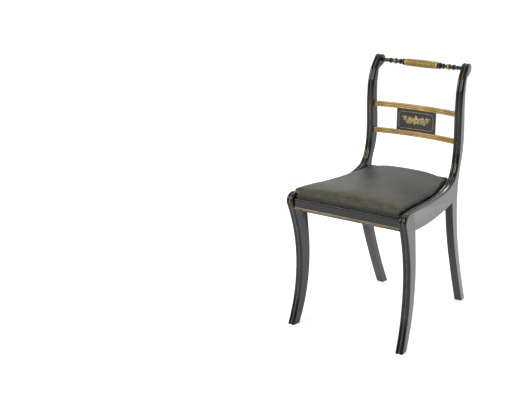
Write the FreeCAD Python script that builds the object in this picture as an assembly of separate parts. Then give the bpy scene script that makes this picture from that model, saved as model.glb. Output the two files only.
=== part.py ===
"""Klismos side chair: ebonised wood frame with sabre legs and a drop-in seat.

Millimetres, +Z up, the front faces -Y. Left and right are as seen from the front: right is +X.
While it is modelled, the floor is z = 0 and y = 0 is the front edge of the front feet.
At the end every piece moves back so that the origin is under the middle of the chair.
A side frame is drawn in its own plane, where s runs backwards along the board.
"""
import FreeCAD
import Part
import math
import os

V = FreeCAD.Vector

# The two side frames: boards that stand closer together at the back
FRONT_WIDTH = 429.0           # over the outer faces at the front edge of the front feet
TAPER_DEG = 5.1               # each board turns in by this angle towards the back
BOARD = 26.0                  # thickness of legs, side rails and posts
FILLET_WIDTH = 3.0            # flat gilt fillet between the two reeds of the moulded face
FILLET_DEPTH = 2.4            # how far the gilt fillet lies below the reeds
REED_OUTER_R = 5.5            # rounding of the moulded face's outer edges
REED_INNER_R = 2.0            # rounding beside the gilt fillet
MOULDING_DEPTH = 12.0         # depth of the strip along the face that holds the moulding

# Moulded face, from the front foot over the shoulder and the seat to the rolled top.
# A station is s, z and the heading in degrees, from backwards towards up.
LEG_FRONT_R = 508.0           # concave front of the sabre leg
LEG_BEND_Z = 195.3            # height of the leg's rearmost bend
SHOULDER_R = 28.0             # rolled shoulder over the front leg
SHOULDER_Z = 428.0            # height of the shoulder's centre
SEAT_DIP = (230.0, 447.3, 0.0)      # lowest point of the swept rail
SEAT_RISE = (352.0, 456.5, 15.0)    # where the sweep starts to climb
SEAT_BEND = (398.0, 484.0, 57.0)    # in the bend
WAIST = (412.5, 517.0, 74.0)        # above the bend into the stile
STILE_LOW = (420.5, 590.0, 90.0)    # rearmost part of the stile's front
STILE_HIGH = (417.5, 690.0, 90.0)
NECK = (432.0, 790.0, 67.0)         # under the rolled top
ROLL_CENTRE = (473.0, 822.0)        # centre of the rolled top, and of the crest rail
ROLL_R = 18.0
ROLL_START_DEG = 145.0        # where the face runs into the roll, from the +s direction
ROLL_END_DEG = -90.0          # where the roll ends underneath

# Rear outline of the post, downwards, and its sabre leg
ROLL_UNDERCUT_DEG = 195.0     # heading in which the underside leaves the roll
NAPE = (449.0, 786.0, 262.0)
STILE_BACK_HIGH = (443.5, 735.0, 270.0)
STILE_BACK_LOW = (453.0, 592.0, 270.0)
HIP = (421.0, 426.0, 270.0)         # waist of the post behind the seat
REAR_FOOT_BACK = (549.0, 0.0, 297.0)
REAR_FOOT_FRONT = (519.0, 0.0, 116.0)
RAIL_CORNER_REAR = (376.0, 395.0, 99.0)   # corner of the rear leg and the side rail

# Underside of the side rail and rear outline of the front leg
RAIL_BELLY = (205.0, 382.0)         # lowest point of the side rail
RAIL_CORNER_FRONT = (66.0, 389.0, 277.0)  # corner of the front leg and the side rail
LEG_BACK_BEND = (82.5, 222.0, 270.0)
FRONT_FOOT_BACK = (32.0, 0.0, 243.0)

# Joints of the side frame
LEG_JOINT_TOP = (39.0, 470.0)       # the leg's joint slants from here to its rail corner
TENON_FIT = 0.1               # clearance at each cheek of a tenon
TENON_END_GAP = 0.6           # clearance at the end of a tenon
SIDE_TENON_THICK = 9.0
SIDE_TENON_Z = (404.0, 432.0)
SIDE_TENON_FRONT = 20.0       # reach of the side rail's tenon into the front leg
SIDE_TENON_REAR = 14.0        # reach into the post

# Front rail: flat face, gilt fillet and a bead along the bottom
FRONT_RAIL_Y = -5.0           # its flat face
FRONT_RAIL_THICK = 22.0
FRONT_LEDGE = 434.0           # rebate behind the rail's lip, on which the seat rests
LIP = 6.0                     # thickness of that lip
FRONT_LIP_HEIGHT = 4.0        # lip above the rebate
FRONT_RAIL_BOTTOM = 400.5
BEAD_R = 3.8
BEAD_PROUD = 1.6              # bead in front of the flat face
GILT_STRIP = 3.0              # height of the gilt fillet above the bead
GILT_SUNK = 0.8
RAIL_TENON = 16.0             # reach of the front and back rails' tenons
RAIL_TENON_THICK = 9.0
RAIL_TENON_SHOULDER = 6.0     # shoulder above and below such a tenon

# Back rail under the seat
BACK_RAIL_Y = 388.0
BACK_RAIL_THICK = 23.0
BACK_RAIL_BOTTOM = 398.0
BACK_TENON_SETBACK = 8.0      # the tenon's front behind the rail's front
BACK_LIP_HEIGHT = 4.0         # lip behind the seat, above the rebate

# Crest rail: turned, with round tenons in the rolls
CREST_TENON_R = 5.0
CREST_TENON = 13.0
CREST_NECK_R = 5.8
ROPE_HALF = 59.0              # half length of the spiral gilt middle
ROPE_R = 13.0
ROPE_END_R = 11.8
# turned beads on each side of it: distance from the middle, half length, radius
CREST_BEADS = ((66.0, 7.2, 11.2), (79.5, 5.6, 9.4), (92.0, 2.6, 8.0), (98.5, 3.2, 10.4),
               (104.5, 2.6, 7.6), (116.0, 6.6, 9.4), (130.0, 3.2, 7.4), (139.0, 3.4, 7.0))

# Gilt cross rails and the tablet between them, bowed backwards
CROSS_FRONT_Y = 425.0         # front of the rails at the stiles
CROSS_BOW = 18.0              # how far the middle lies behind the ends
CROSS_DEPTH = 11.0
CROSS_HEIGHT = 17.4
CROSS_REEDS = 3
CROSS_REED_R = 3.6
UPPER_CROSS_Z = 677.0
LOWER_CROSS_Z = 586.0
CROSS_TENON = 12.0
CROSS_TENON_SIZE = 7.0
TABLET_WIDTH = 144.0
TABLET_THICK = 6.5
TABLET_SETBACK = 2.2          # tablet's face behind the front of the rails
TONGUE = 4.0                  # reach of the tablet's tongues into the rails
TONGUE_THICK = 3.0
TONGUE_INSET = 4.0            # tongue's end from the tablet's side

# Drop-in seat: layers are measured up from its underside, which sweeps with the rails
SEAT_GAP = 1.4                # between the pad and the boards
SEAT_LIFT = 0.3               # air between the seat and the rails under it
SEAT_END_GAP = 1.0            # between the seat and the lips in front of it and behind it
SEAT_BACK_Y = 405.0           # back of the covered frame
SEAT_SAG = 8.7                # how far the underside dips between front and back
SEAT_DIP_Y = 230.0
SEAT_BACK_RISE = 15.0         # how much higher the back of the seat lies than the front
DUST_COVER = 0.7
COVER = 1.2                   # thickness of the cover cloth
COVER_RETURN = 32.0           # how far the cover is turned in under the frame
FRAME_THICK = 13.0
FRAME_WIDTH = 44.0            # width of its four rails
FRAME_FIT = 0.2               # between the frame and the cover's inside
FRAME_TENON_WIDTH = 24.0
FRAME_TENON_THICK = 5.0
FRAME_TENON = 18.0
STRAP_WIDTH = 46.0
STRAP_THICK = 1.3
STRAPS_ACROSS = 4
STRAPS_ALONG = 3
STRAP_END = 8.0               # strap's end from the frame's outside
BASE_CLOTH = 0.8
PAD_CROWN = 8.0               # how much the middle stands over the edge
PAD_SWELL = 2.6               # how far the pad swells out over the frame
PAD_FRONT_SWELL = 5.4         # the same at the front, over the lip
PAD_SHOULDER = 1.5            # how much the top has risen where the rounded edge ends
PAD_OVER_LIP = 9.0            # how far above the front lip the swelling starts
PAD_RIM = 9.2                 # height of the pad's edge above the start of the swelling
PAD_ROUND = 9.0               # how far the rounded edge reaches in over the top
DUST_INSET = 8.0
TACK_INSET = 25.0
TACK_HEAD_R = 3.6
TACK_HEAD = 0.8
TACK_SHANK_R = 0.9
TACK_SHANK = 9.0
TACK_POINT = 2.7
TACK_FIT = 0.05
TACKS_PER_SIDE = 5
TACK_END = 62.0               # first and last tack from the corner

# Corner blocks and their screws
BLOCK_LEG = 44.0              # length of a block along each rail
BLOCK_BLUNT = 6.0             # width of its cut-off tips
BLOCK_BOTTOM = 408.0
BLOCK_TOP = 430.0
SCREW_Z = 419.0
SCREW_OFFSET = 26.0           # screw from the corner
SCREW_R = 2.0
SCREW_HEAD_R = 4.0
SCREW_HEAD = 2.2
SCREW_LENGTH = 22.0
SCREW_POINT = 4.0
SCREW_BITE_RAIL = 10.0        # how deep a screw goes into the front or back rail
SCREW_BITE_BOARD = 8.0        # how deep it goes into a side frame
SCREW_FIT = 0.05

# Shapes that only cut reach past the wood by this much, or past the whole chair
ROOM = 40.0
BEYOND = 900.0
TENON_ROOT = 4.5              # how far a tenon of the seat frame starts inside its own rail

ALPHA = math.radians(TAPER_DEG)
HALF_FRONT = FRONT_WIDTH / 2.0
HALF_BOARD = BOARD / 2.0
SEAT_FRONT_Y = FRONT_RAIL_Y + LIP + SEAT_END_GAP
PAD_FOLD = FRONT_LIP_HEIGHT + PAD_OVER_LIP
PAD_EDGE = PAD_FOLD + PAD_RIM


# Plane geometry: a path is a list of arcs, each (centre, radius, start angle, sweep)

def heading(degrees):
    return math.cos(math.radians(degrees)), math.sin(math.radians(degrees))


def tangent_arc(start, direction, end):
    """Arc from start to end that leaves start in the given unit direction."""
    cs, cz = end[0] - start[0], end[1] - start[1]
    chord = math.hypot(cs, cz)
    turn = math.atan2(direction[0] * cz - direction[1] * cs, direction[0] * cs + direction[1] * cz)
    signed = chord / (2.0 * math.sin(turn))
    centre = (start[0] - signed * direction[1], start[1] + signed * direction[0])
    start_angle = math.atan2(start[1] - centre[1], start[0] - centre[0])
    return centre, abs(signed), start_angle, 2.0 * turn


def biarc(first, last):
    """Two tangent arcs between stations (s, z, heading)."""
    p0, t0 = first[:2], heading(first[2])
    p1, t1 = last[:2], heading(last[2])
    v = (p1[0] - p0[0], p1[1] - p0[1])
    t = (t0[0] + t1[0], t0[1] + t1[1])
    v_t = v[0] * t[0] + v[1] * t[1]
    v_v = v[0] * v[0] + v[1] * v[1]
    spread = 2.0 * (1.0 - t0[0] * t1[0] - t0[1] * t1[1])
    if spread < 1e-9:
        reach = v_v / (2.0 * v_t)
    else:
        reach = (-v_t + math.sqrt(v_t * v_t + spread * v_v)) / spread
    joint = ((p0[0] + p1[0] + reach * (t0[0] - t1[0])) / 2.0,
             (p0[1] + p1[1] + reach * (t0[1] - t1[1])) / 2.0)
    back = tangent_arc(p1, (-t1[0], -t1[1]), joint)
    centre, radius, start_angle, sweep = back
    return [tangent_arc(p0, t0, joint), (centre, radius, start_angle + sweep, -sweep)]


def smooth_path(stations):
    arcs = []
    for first, last in zip(stations, stations[1:]):
        arcs += biarc(first, last)
    return arcs


def arc_point(arc, share, sunk=0.0):
    """Point on an arc, moved to the right of the direction of travel by sunk."""
    centre, radius, start_angle, sweep = arc
    angle = start_angle + sweep * share
    reach = radius + sunk if sweep > 0 else radius - sunk
    return centre[0] + reach * math.cos(angle), centre[1] + reach * math.sin(angle)


def in_plane(point, x=0.0):
    return V(x, point[0], point[1])


def arc_edge(arc, sunk=0.0, x=0.0):
    ends = [in_plane(arc_point(arc, share, sunk), x) for share in (0.0, 0.5, 1.0)]
    return Part.Arc(*ends).toShape()


def line_edge(first, last):
    return Part.LineSegment(in_plane(first), in_plane(last)).toShape()


def polygon_prism(points, x_low, x_high):
    """Prism over a polygon in the (y, z) plane, between two x."""
    ring = [in_plane(p, x_low) for p in points]
    face = Part.Face(Part.makePolygon(ring + ring[:1]))
    return face.extrude(V(x_high - x_low, 0, 0))


def box(x, y, z):
    return Part.makeBox(x[1] - x[0], y[1] - y[0], z[1] - z[0], V(x[0], y[0], z[0]))


# Outline of a side frame

def moulded_path():
    """Front foot, leg, shoulder, swept seat, stile and rolled top, with the wood on its right."""
    shoulder_s = (math.sqrt((LEG_FRONT_R + SHOULDER_R) ** 2 - (SHOULDER_Z - LEG_BEND_Z) ** 2)
                  - math.sqrt(LEG_FRONT_R ** 2 - LEG_BEND_Z ** 2))
    leg_centre = (-math.sqrt(LEG_FRONT_R ** 2 - LEG_BEND_Z ** 2), LEG_BEND_Z)
    foot_angle = math.atan2(-leg_centre[1], -leg_centre[0])
    touch = math.atan2(SHOULDER_Z - leg_centre[1], shoulder_s - leg_centre[0])
    leg = (leg_centre, LEG_FRONT_R, foot_angle, touch - foot_angle)
    shoulder = ((shoulder_s, SHOULDER_Z), SHOULDER_R, touch + math.pi, -(touch + math.pi / 2.0))
    shoulder_top = (shoulder_s, SHOULDER_Z + SHOULDER_R, 0.0)
    roll_angle = math.radians(ROLL_START_DEG)
    roll_start = (ROLL_CENTRE[0] + ROLL_R * math.cos(roll_angle),
                  ROLL_CENTRE[1] + ROLL_R * math.sin(roll_angle), ROLL_START_DEG - 90.0)
    roll = (ROLL_CENTRE, ROLL_R, roll_angle, math.radians(ROLL_END_DEG - ROLL_START_DEG))
    stations = [shoulder_top, SEAT_DIP, SEAT_RISE, SEAT_BEND, WAIST, STILE_LOW, STILE_HIGH, NECK, roll_start]
    return [leg, shoulder] + smooth_path(stations) + [roll]


def side_outline(moulded):
    """Closed wire of a whole side frame, before it is cut into leg, rail and post."""
    roll_end = arc_point(moulded[-1], 1.0)
    under_roll = (roll_end[0], roll_end[1], ROLL_UNDERCUT_DEG)
    rear = smooth_path([under_roll, NAPE, STILE_BACK_HIGH, STILE_BACK_LOW, HIP, REAR_FOOT_BACK])
    leg_front = smooth_path([REAR_FOOT_FRONT, RAIL_CORNER_REAR])
    leg_back = smooth_path([RAIL_CORNER_FRONT, LEG_BACK_BEND, FRONT_FOOT_BACK])
    rail = Part.Arc(in_plane(RAIL_CORNER_REAR), in_plane(RAIL_BELLY), in_plane(RAIL_CORNER_FRONT)).toShape()
    edges = [arc_edge(arc) for arc in moulded + rear]
    edges.append(line_edge(REAR_FOOT_BACK, REAR_FOOT_FRONT))
    edges += [arc_edge(arc) for arc in leg_front]
    edges.append(rail)
    edges += [arc_edge(arc) for arc in leg_back]
    edges.append(line_edge(FRONT_FOOT_BACK, (0.0, 0.0)))
    return Part.Wire(Part.__sortEdges__(edges))


def path_strip(path, low, high):
    """Face between two parallels of a path, at low and high to its right."""
    edges = [arc_edge(arc, low) for arc in path] + [arc_edge(arc, high) for arc in path]
    edges.append(line_edge(arc_point(path[0], 0.0, low), arc_point(path[0], 0.0, high)))
    edges.append(line_edge(arc_point(path[-1], 1.0, low), arc_point(path[-1], 1.0, high)))
    return Part.Face(Part.Wire(Part.__sortEdges__(edges)))


def across(face, x_low, x_high):
    """Solid over a face in the (y, z) plane, between two x."""
    solid = face.extrude(V(x_high - x_low, 0, 0))
    solid.translate(V(x_low, 0, 0))
    return solid


def edges_along(shape, path, x):
    """Edges of a solid that follow a path at the given x."""
    found = []
    for arc in path:
        middle = Part.Vertex(in_plane(arc_point(arc, 0.5), x))
        found.append(next(edge for edge in shape.Edges if edge.distToShape(middle)[0] < 1e-4))
    return found


def moulding(moulded):
    """The strip of wood along the moulded face, with its two reeds and the fillet between them."""
    centre, radius, start_angle, sweep = moulded[0]
    below_floor = BOARD / radius
    path = [(centre, radius, start_angle - below_floor, sweep + below_floor)] + moulded[1:]
    strip = across(path_strip(path, 0.0, MOULDING_DEPTH), -HALF_BOARD, HALF_BOARD)
    for x in (-HALF_BOARD, HALF_BOARD):
        strip = strip.makeFillet(REED_OUTER_R, edges_along(strip, path, x))
    fillet = (-FILLET_WIDTH / 2.0, FILLET_WIDTH / 2.0)
    strip = strip.cut(across(path_strip(path, -1.0, FILLET_DEPTH), *fillet))
    for x in fillet:
        strip = strip.makeFillet(REED_INNER_R, edges_along(strip, path, x))
    blank = across(path_strip(path, -1.0, MOULDING_DEPTH), -BOARD, BOARD)
    return strip, blank


def moulded_board():
    """Side frame in one piece, with the plane x = 0 in the middle of its thickness."""
    moulded = moulded_path()
    core = across(Part.Face(side_outline(moulded)), -HALF_BOARD, HALF_BOARD)
    strip, blank = moulding(moulded)
    board = core.cut(blank).fuse(strip)
    floor = box((-BOARD, BOARD), (-ROOM, ROOM), (-ROOM, 0.0))
    return board.cut(floor).removeSplitter()


# From a board's own plane to the chair

def placed(board_shape, side):
    """Turn a piece of a board into its tapered place: side is 1 on the right, -1 on the left."""
    shape = board_shape.copy()
    shape.rotate(V(0, 0, 0), V(0, 0, 1), side * TAPER_DEG)
    shape.translate(V(side * (HALF_FRONT - HALF_BOARD * math.cos(ALPHA)), -HALF_BOARD * math.sin(ALPHA), 0))
    return shape


def mirrored(shape):
    return shape.mirror(V(0, 0, 0), V(1, 0, 0))


def inner_x(y):
    """Inner face of the right side frame at a distance y from the front."""
    return HALF_FRONT - y * math.tan(ALPHA) - BOARD / math.cos(ALPHA)


def inner_y(s):
    """Distance y from the front of a point s along the board, at its inner face."""
    return s * math.cos(ALPHA) - BOARD * math.sin(ALPHA)


def plan_prism(points, z_low, z_high):
    ring = [V(x, y, z_low) for x, y in points]
    return Part.Face(Part.makePolygon(ring + ring[:1])).extrude(V(0, 0, z_high - z_low))


def between_boards(y_low, y_high):
    """Space between the two side frames."""
    low, high = inner_x(y_low), inner_x(y_high)
    return plan_prism([(-low, y_low), (low, y_low), (high, y_high), (-high, y_high)], 0.0, BEYOND)


def grown(x, y, z, fit, end_gap):
    """Mortise for a tenon along x: fit at its cheeks, end_gap at its far end."""
    return box((x[0], x[1] + end_gap), (y[0] - fit, y[1] + fit), (z[0] - fit, z[1] + fit))


# Side frames

def cut_joints(board):
    """Front leg, side rail and back post of one frame, with the rail's tenons."""
    corner_front, corner_rear = RAIL_CORNER_FRONT[:2], RAIL_CORNER_REAR[:2]
    whole = (-BOARD, BOARD)
    leg_zone = polygon_prism([(-ROOM, -ROOM), (corner_front[0] + 2 * ROOM, -ROOM),
                              (corner_front[0] + ROOM, corner_front[1] - ROOM), corner_front,
                              LEG_JOINT_TOP, (-ROOM, LEG_JOINT_TOP[1])], *whole)
    post_zone = polygon_prism([(corner_rear[0], BEYOND), corner_rear,
                               (corner_rear[0] - ROOM, corner_rear[1] - ROOM),
                               (corner_rear[0] - ROOM, -ROOM), (BEYOND, -ROOM), (BEYOND, BEYOND)], *whole)
    leg = board.common(leg_zone)
    post = board.common(post_zone)
    rail = board.cut(leg_zone).cut(post_zone)
    cheeks = (-SIDE_TENON_THICK / 2.0, SIDE_TENON_THICK / 2.0)
    low, high = SIDE_TENON_Z
    slope = (LEG_JOINT_TOP[0] - corner_front[0]) / (LEG_JOINT_TOP[1] - corner_front[1])
    joint_at_top = corner_front[0] + slope * (high - corner_front[1])
    front = (joint_at_top - SIDE_TENON_FRONT, corner_front[0] + SIDE_TENON_FRONT)
    rear = (corner_rear[0] - SIDE_TENON_REAR, corner_rear[0] + SIDE_TENON_REAR)
    rail = rail.fuse([box(cheeks, front, SIDE_TENON_Z), box(cheeks, rear, SIDE_TENON_Z)])
    free = (cheeks[0] - TENON_FIT, cheeks[1] + TENON_FIT)
    free_z = (low - TENON_FIT, high + TENON_FIT)
    leg = leg.cut(box(free, (front[0] - TENON_END_GAP, front[1]), free_z))
    post = post.cut(box(free, (rear[0], rear[1] + TENON_END_GAP), free_z))
    return {"front_leg": leg, "side_rail": rail.removeSplitter(), "back_post": post}


# Rails across the chair

def front_rail():
    front, back = FRONT_RAIL_Y, FRONT_RAIL_Y + FRONT_RAIL_THICK
    bead_y = front - BEAD_PROUD + BEAD_R
    bead_z = FRONT_RAIL_BOTTOM + BEAD_R
    sunk = front + GILT_SUNK
    bead_top = bead_z + math.sqrt(BEAD_R ** 2 - (bead_y - sunk) ** 2)
    strip_top = bead_top + GILT_STRIP
    top = FRONT_LEDGE + FRONT_LIP_HEIGHT
    bead = Part.Arc(in_plane((sunk, bead_top)), in_plane((bead_y - BEAD_R, bead_z)),
                    in_plane((bead_y, FRONT_RAIL_BOTTOM))).toShape()
    corners = [(bead_y, FRONT_RAIL_BOTTOM), (back, FRONT_RAIL_BOTTOM), (back, FRONT_LEDGE),
               (front + LIP, FRONT_LEDGE), (front + LIP, top), (front, top),
               (front, strip_top), (sunk, strip_top), (sunk, bead_top)]
    edges = [line_edge(a, b) for a, b in zip(corners, corners[1:])] + [bead]
    section = Part.Face(Part.Wire(Part.__sortEdges__(edges)))
    rail = across(section, -HALF_FRONT, HALF_FRONT)
    rail = rail.common(between_boards(-ROOM, ROOM))
    tenon_y = (front + back - RAIL_TENON_THICK) / 2.0, (front + back + RAIL_TENON_THICK) / 2.0
    tenon_z = FRONT_RAIL_BOTTOM + RAIL_TENON_SHOULDER, FRONT_LEDGE - RAIL_TENON_SHOULDER
    return with_tenons(rail, tenon_y, tenon_z)


def with_tenons(rail, tenon_y, tenon_z):
    """A rail with its two straight tenons, and the mortise for the right-hand one."""
    shoulder = inner_x(tenon_y[0])
    end = shoulder + RAIL_TENON
    tenon = box((shoulder - RAIL_TENON, end), tenon_y, tenon_z)
    mortise = grown((shoulder - RAIL_TENON, end), tenon_y, tenon_z, TENON_FIT, TENON_END_GAP)
    return rail.fuse([tenon, mirrored(tenon)]).removeSplitter(), mortise


def seat_line():
    """Underside of the drop-in seat in the (y, z) plane, run on past both ends."""
    y_low, y_high = -2.0 * ROOM, SEAT_BACK_Y + 2.0 * ROOM
    front_z = FRONT_LEDGE + SEAT_LIFT
    dip = (SEAT_DIP_Y, front_z - SEAT_SAG)
    end_z = front_z + SEAT_BACK_RISE
    front = biarc((SEAT_FRONT_Y, front_z, 0.0), dip + (0.0,))
    rear = tangent_arc(dip, (1.0, 0.0), (SEAT_BACK_Y, end_z))
    before = (SEAT_FRONT_Y - y_low) / front[0][1]
    first = (front[0][0], front[0][1], front[0][2] + before, front[0][3] - before)
    past = (y_high - SEAT_BACK_Y) / rear[1]
    last = (rear[0], rear[1], rear[2], rear[3] + past)
    return [first, front[1], last]


def seat_height(y, above=0.0):
    """Height of a layer of the seat at a given y."""
    for centre, radius, start_angle, sweep in seat_line():
        reach = radius - above if sweep > 0 else radius + above
        ends = sorted(centre[0] + radius * math.cos(start_angle + sweep * share) for share in (0.0, 1.0))
        if ends[0] <= y <= ends[1]:
            rise = math.sqrt(reach ** 2 - (y - centre[0]) ** 2)
            return centre[1] - rise if sweep > 0 else centre[1] + rise
    raise ValueError("no seat at this y")


def seat_slope(y):
    """Slope of the seat's underside at a given y, in degrees."""
    return math.degrees(math.atan(seat_height(y + 0.5) - seat_height(y - 0.5)))


def seat_band(low, high):
    """Curved slab of the seat between two heights above its underside."""
    return across(path_strip(seat_line(), -low, -high), -HALF_FRONT, HALF_FRONT)


def back_rail():
    front, back = BACK_RAIL_Y, BACK_RAIL_Y + BACK_RAIL_THICK
    rail = box((-HALF_FRONT, HALF_FRONT), (front, back), (BACK_RAIL_BOTTOM, SEAT_RISE[1] + ROOM))
    rebate = box((-HALF_FRONT, HALF_FRONT), (front - ROOM, SEAT_BACK_Y + SEAT_END_GAP), (0.0, BEYOND))
    rail = rail.cut(seat_band(-SEAT_LIFT, 2.0 * ROOM).common(rebate))
    rail = rail.cut(seat_band(BACK_LIP_HEIGHT - SEAT_LIFT, 2.0 * ROOM))
    rail = rail.common(between_boards(front - ROOM, back + ROOM))
    tenon_y = (front + BACK_TENON_SETBACK, front + BACK_TENON_SETBACK + RAIL_TENON_THICK)
    tenon_z = (BACK_RAIL_BOTTOM + RAIL_TENON_SHOULDER, seat_height(front) - 2 * RAIL_TENON_SHOULDER)
    return with_tenons(rail, tenon_y, tenon_z)


def turned(middle, half, radius, base, centre_y, centre_z):
    """Turning about the crest's axis: radius at its middle, base at its two ends."""
    low, high = middle - half, middle + half
    arc = Part.Arc(V(low, base, 0), V(middle, radius, 0), V(high, base, 0)).toShape()
    sides = Part.makePolygon([V(high, base, 0), V(high, 0, 0), V(low, 0, 0), V(low, base, 0)])
    face = Part.Face(Part.Wire([arc] + sides.Edges))
    solid = face.revolve(V(0, 0, 0), V(1, 0, 0), 360.0)
    solid.translate(V(0, centre_y, centre_z))
    return solid


def crest_rail():
    """Turned rail between the rolls, and the round mortise for its right-hand end."""
    y, z = inner_y(ROLL_CENTRE[0]), ROLL_CENTRE[1]
    half = inner_x(y)
    core = Part.makeCylinder(CREST_NECK_R, 2.0 * half + BOARD, V(-half - BOARD / 2.0, y, z), V(1, 0, 0))
    turnings = [turned(0.0, ROPE_HALF, ROPE_R, ROPE_END_R, y, z)]
    for distance, half_length, radius in CREST_BEADS:
        bead = turned(distance, half_length, radius, CREST_NECK_R, y, z)
        turnings += [bead, mirrored(bead)]
    rail = core.fuse(turnings).common(between_boards(y - ROOM, y + ROOM))
    end = half + CREST_TENON
    tenon = Part.makeCylinder(CREST_TENON_R, 2.0 * end, V(-end, y, z), V(1, 0, 0))
    mortise = Part.makeCylinder(CREST_TENON_R + TENON_FIT / 2.0, CREST_TENON + TENON_END_GAP + ROOM,
                                V(half - ROOM, y, z), V(1, 0, 0))
    return rail.fuse(tenon).removeSplitter(), mortise


def bow_axis():
    """Radius of the bowed fronts of the cross rails, and the y of its upright axis."""
    half = inner_x(CROSS_FRONT_Y)
    radius = (half ** 2 + CROSS_BOW ** 2) / (2.0 * CROSS_BOW)
    return radius, CROSS_FRONT_Y + CROSS_BOW - radius


def bowed(section_edges, half_width):
    """Revolve a section, drawn in (y, z) with y from the bow's axis, over a width."""
    radius, axis_y = bow_axis()
    sweep = 2.0 * math.degrees(math.asin(half_width / radius))
    face = Part.Face(Part.Wire(Part.__sortEdges__(section_edges)))
    face.rotate(V(0, 0, 0), V(0, 0, 1), -sweep / 2.0)
    solid = face.revolve(V(0, 0, 0), V(0, 0, 1), sweep)
    solid.translate(V(0, axis_y, 0))
    return solid


def rectangle_edges(y, z):
    corners = [(y[0], z[0]), (y[1], z[0]), (y[1], z[1]), (y[0], z[1]), (y[0], z[0])]
    return [line_edge(a, b) for a, b in zip(corners, corners[1:])]


def cross_rail(middle_z):
    """Gilt rail with reeds along its front, and the mortise for its right-hand tenon."""
    radius, axis_y = bow_axis()
    pitch = CROSS_HEIGHT / CROSS_REEDS
    valley = CROSS_REED_R - math.sqrt(CROSS_REED_R ** 2 - (pitch / 2.0) ** 2)
    low, high = middle_z - CROSS_HEIGHT / 2.0, middle_z + CROSS_HEIGHT / 2.0
    edges = []
    for reed in range(CROSS_REEDS):
        foot = low + reed * pitch
        edges.append(Part.Arc(in_plane((radius + valley, foot)), in_plane((radius, foot + pitch / 2.0)),
                              in_plane((radius + valley, foot + pitch))).toShape())
    back = radius + CROSS_DEPTH
    edges += [line_edge((radius + valley, low), (back, low)), line_edge((back, low), (back, high)),
              line_edge((back, high), (radius + valley, high))]
    rail = bowed(edges, inner_x(CROSS_FRONT_Y) + BOARD)
    rail = rail.common(between_boards(CROSS_FRONT_Y - ROOM, CROSS_FRONT_Y + ROOM))
    middle_y = CROSS_FRONT_Y + CROSS_DEPTH / 2.0
    half = CROSS_TENON_SIZE / 2.0
    tenon_x = (inner_x(middle_y) - half, inner_x(middle_y) + CROSS_TENON)
    tenon_y, tenon_z = (middle_y - half, middle_y + half), (middle_z - half, middle_z + half)
    tenon = box(tenon_x, tenon_y, tenon_z)
    mortise = grown(tenon_x, tenon_y, tenon_z, TENON_FIT, TENON_END_GAP)
    return rail.fuse([tenon, mirrored(tenon)]).removeSplitter(), mortise


def tablet():
    """Bowed panel with a tongue along its top and bottom, and the grooves for them."""
    radius, axis_y = bow_axis()
    face = radius + TABLET_SETBACK
    low, high = LOWER_CROSS_Z + CROSS_HEIGHT / 2.0, UPPER_CROSS_Z - CROSS_HEIGHT / 2.0
    half = TABLET_WIDTH / 2.0
    panel = bowed(rectangle_edges((face, face + TABLET_THICK), (low, high)), half)
    inside = face + (TABLET_THICK - TONGUE_THICK) / 2.0
    tongue = bowed(rectangle_edges((inside, inside + TONGUE_THICK), (low - TONGUE, high + TONGUE)),
                   half - TONGUE_INSET)
    groove_y = (inside - TENON_FIT, inside + TONGUE_THICK + TENON_FIT)
    groove_z = (low - TONGUE - TENON_FIT, high + TONGUE + TENON_FIT)
    groove = bowed(rectangle_edges(groove_y, groove_z), half - TONGUE_INSET + TENON_FIT)
    return panel.fuse(tongue).removeSplitter(), groove


# Drop-in seat

def frame_inset():
    """From a board's inner face to the wooden frame of the seat."""
    return SEAT_GAP + PAD_SWELL + COVER + FRAME_FIT


def frame_span():
    """Front and back of the wooden frame of the seat."""
    return SEAT_FRONT_Y + COVER + FRAME_FIT, SEAT_BACK_Y - COVER - FRAME_FIT


def seat_layers():
    """Underside of the frame, its top, and the tops of the straps and the base cloth."""
    under = DUST_COVER + COVER + FRAME_FIT
    top = under + FRAME_THICK
    return under, top, top + STRAP_THICK, top + 2.0 * STRAP_THICK, top + 2.0 * STRAP_THICK + BASE_CLOTH


def frame_corner(y, inset):
    """Outer corner of the frame's plan at y, moved in by an inset."""
    return inner_x(y) - frame_inset() - inset


def frame_plan(y_low, y_high, inset=0.0):
    low, high = frame_corner(y_low, inset), frame_corner(y_high, inset)
    return plan_prism([(-low, y_low), (low, y_low), (high, y_high), (-high, y_high)], 0.0, BEYOND)


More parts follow.
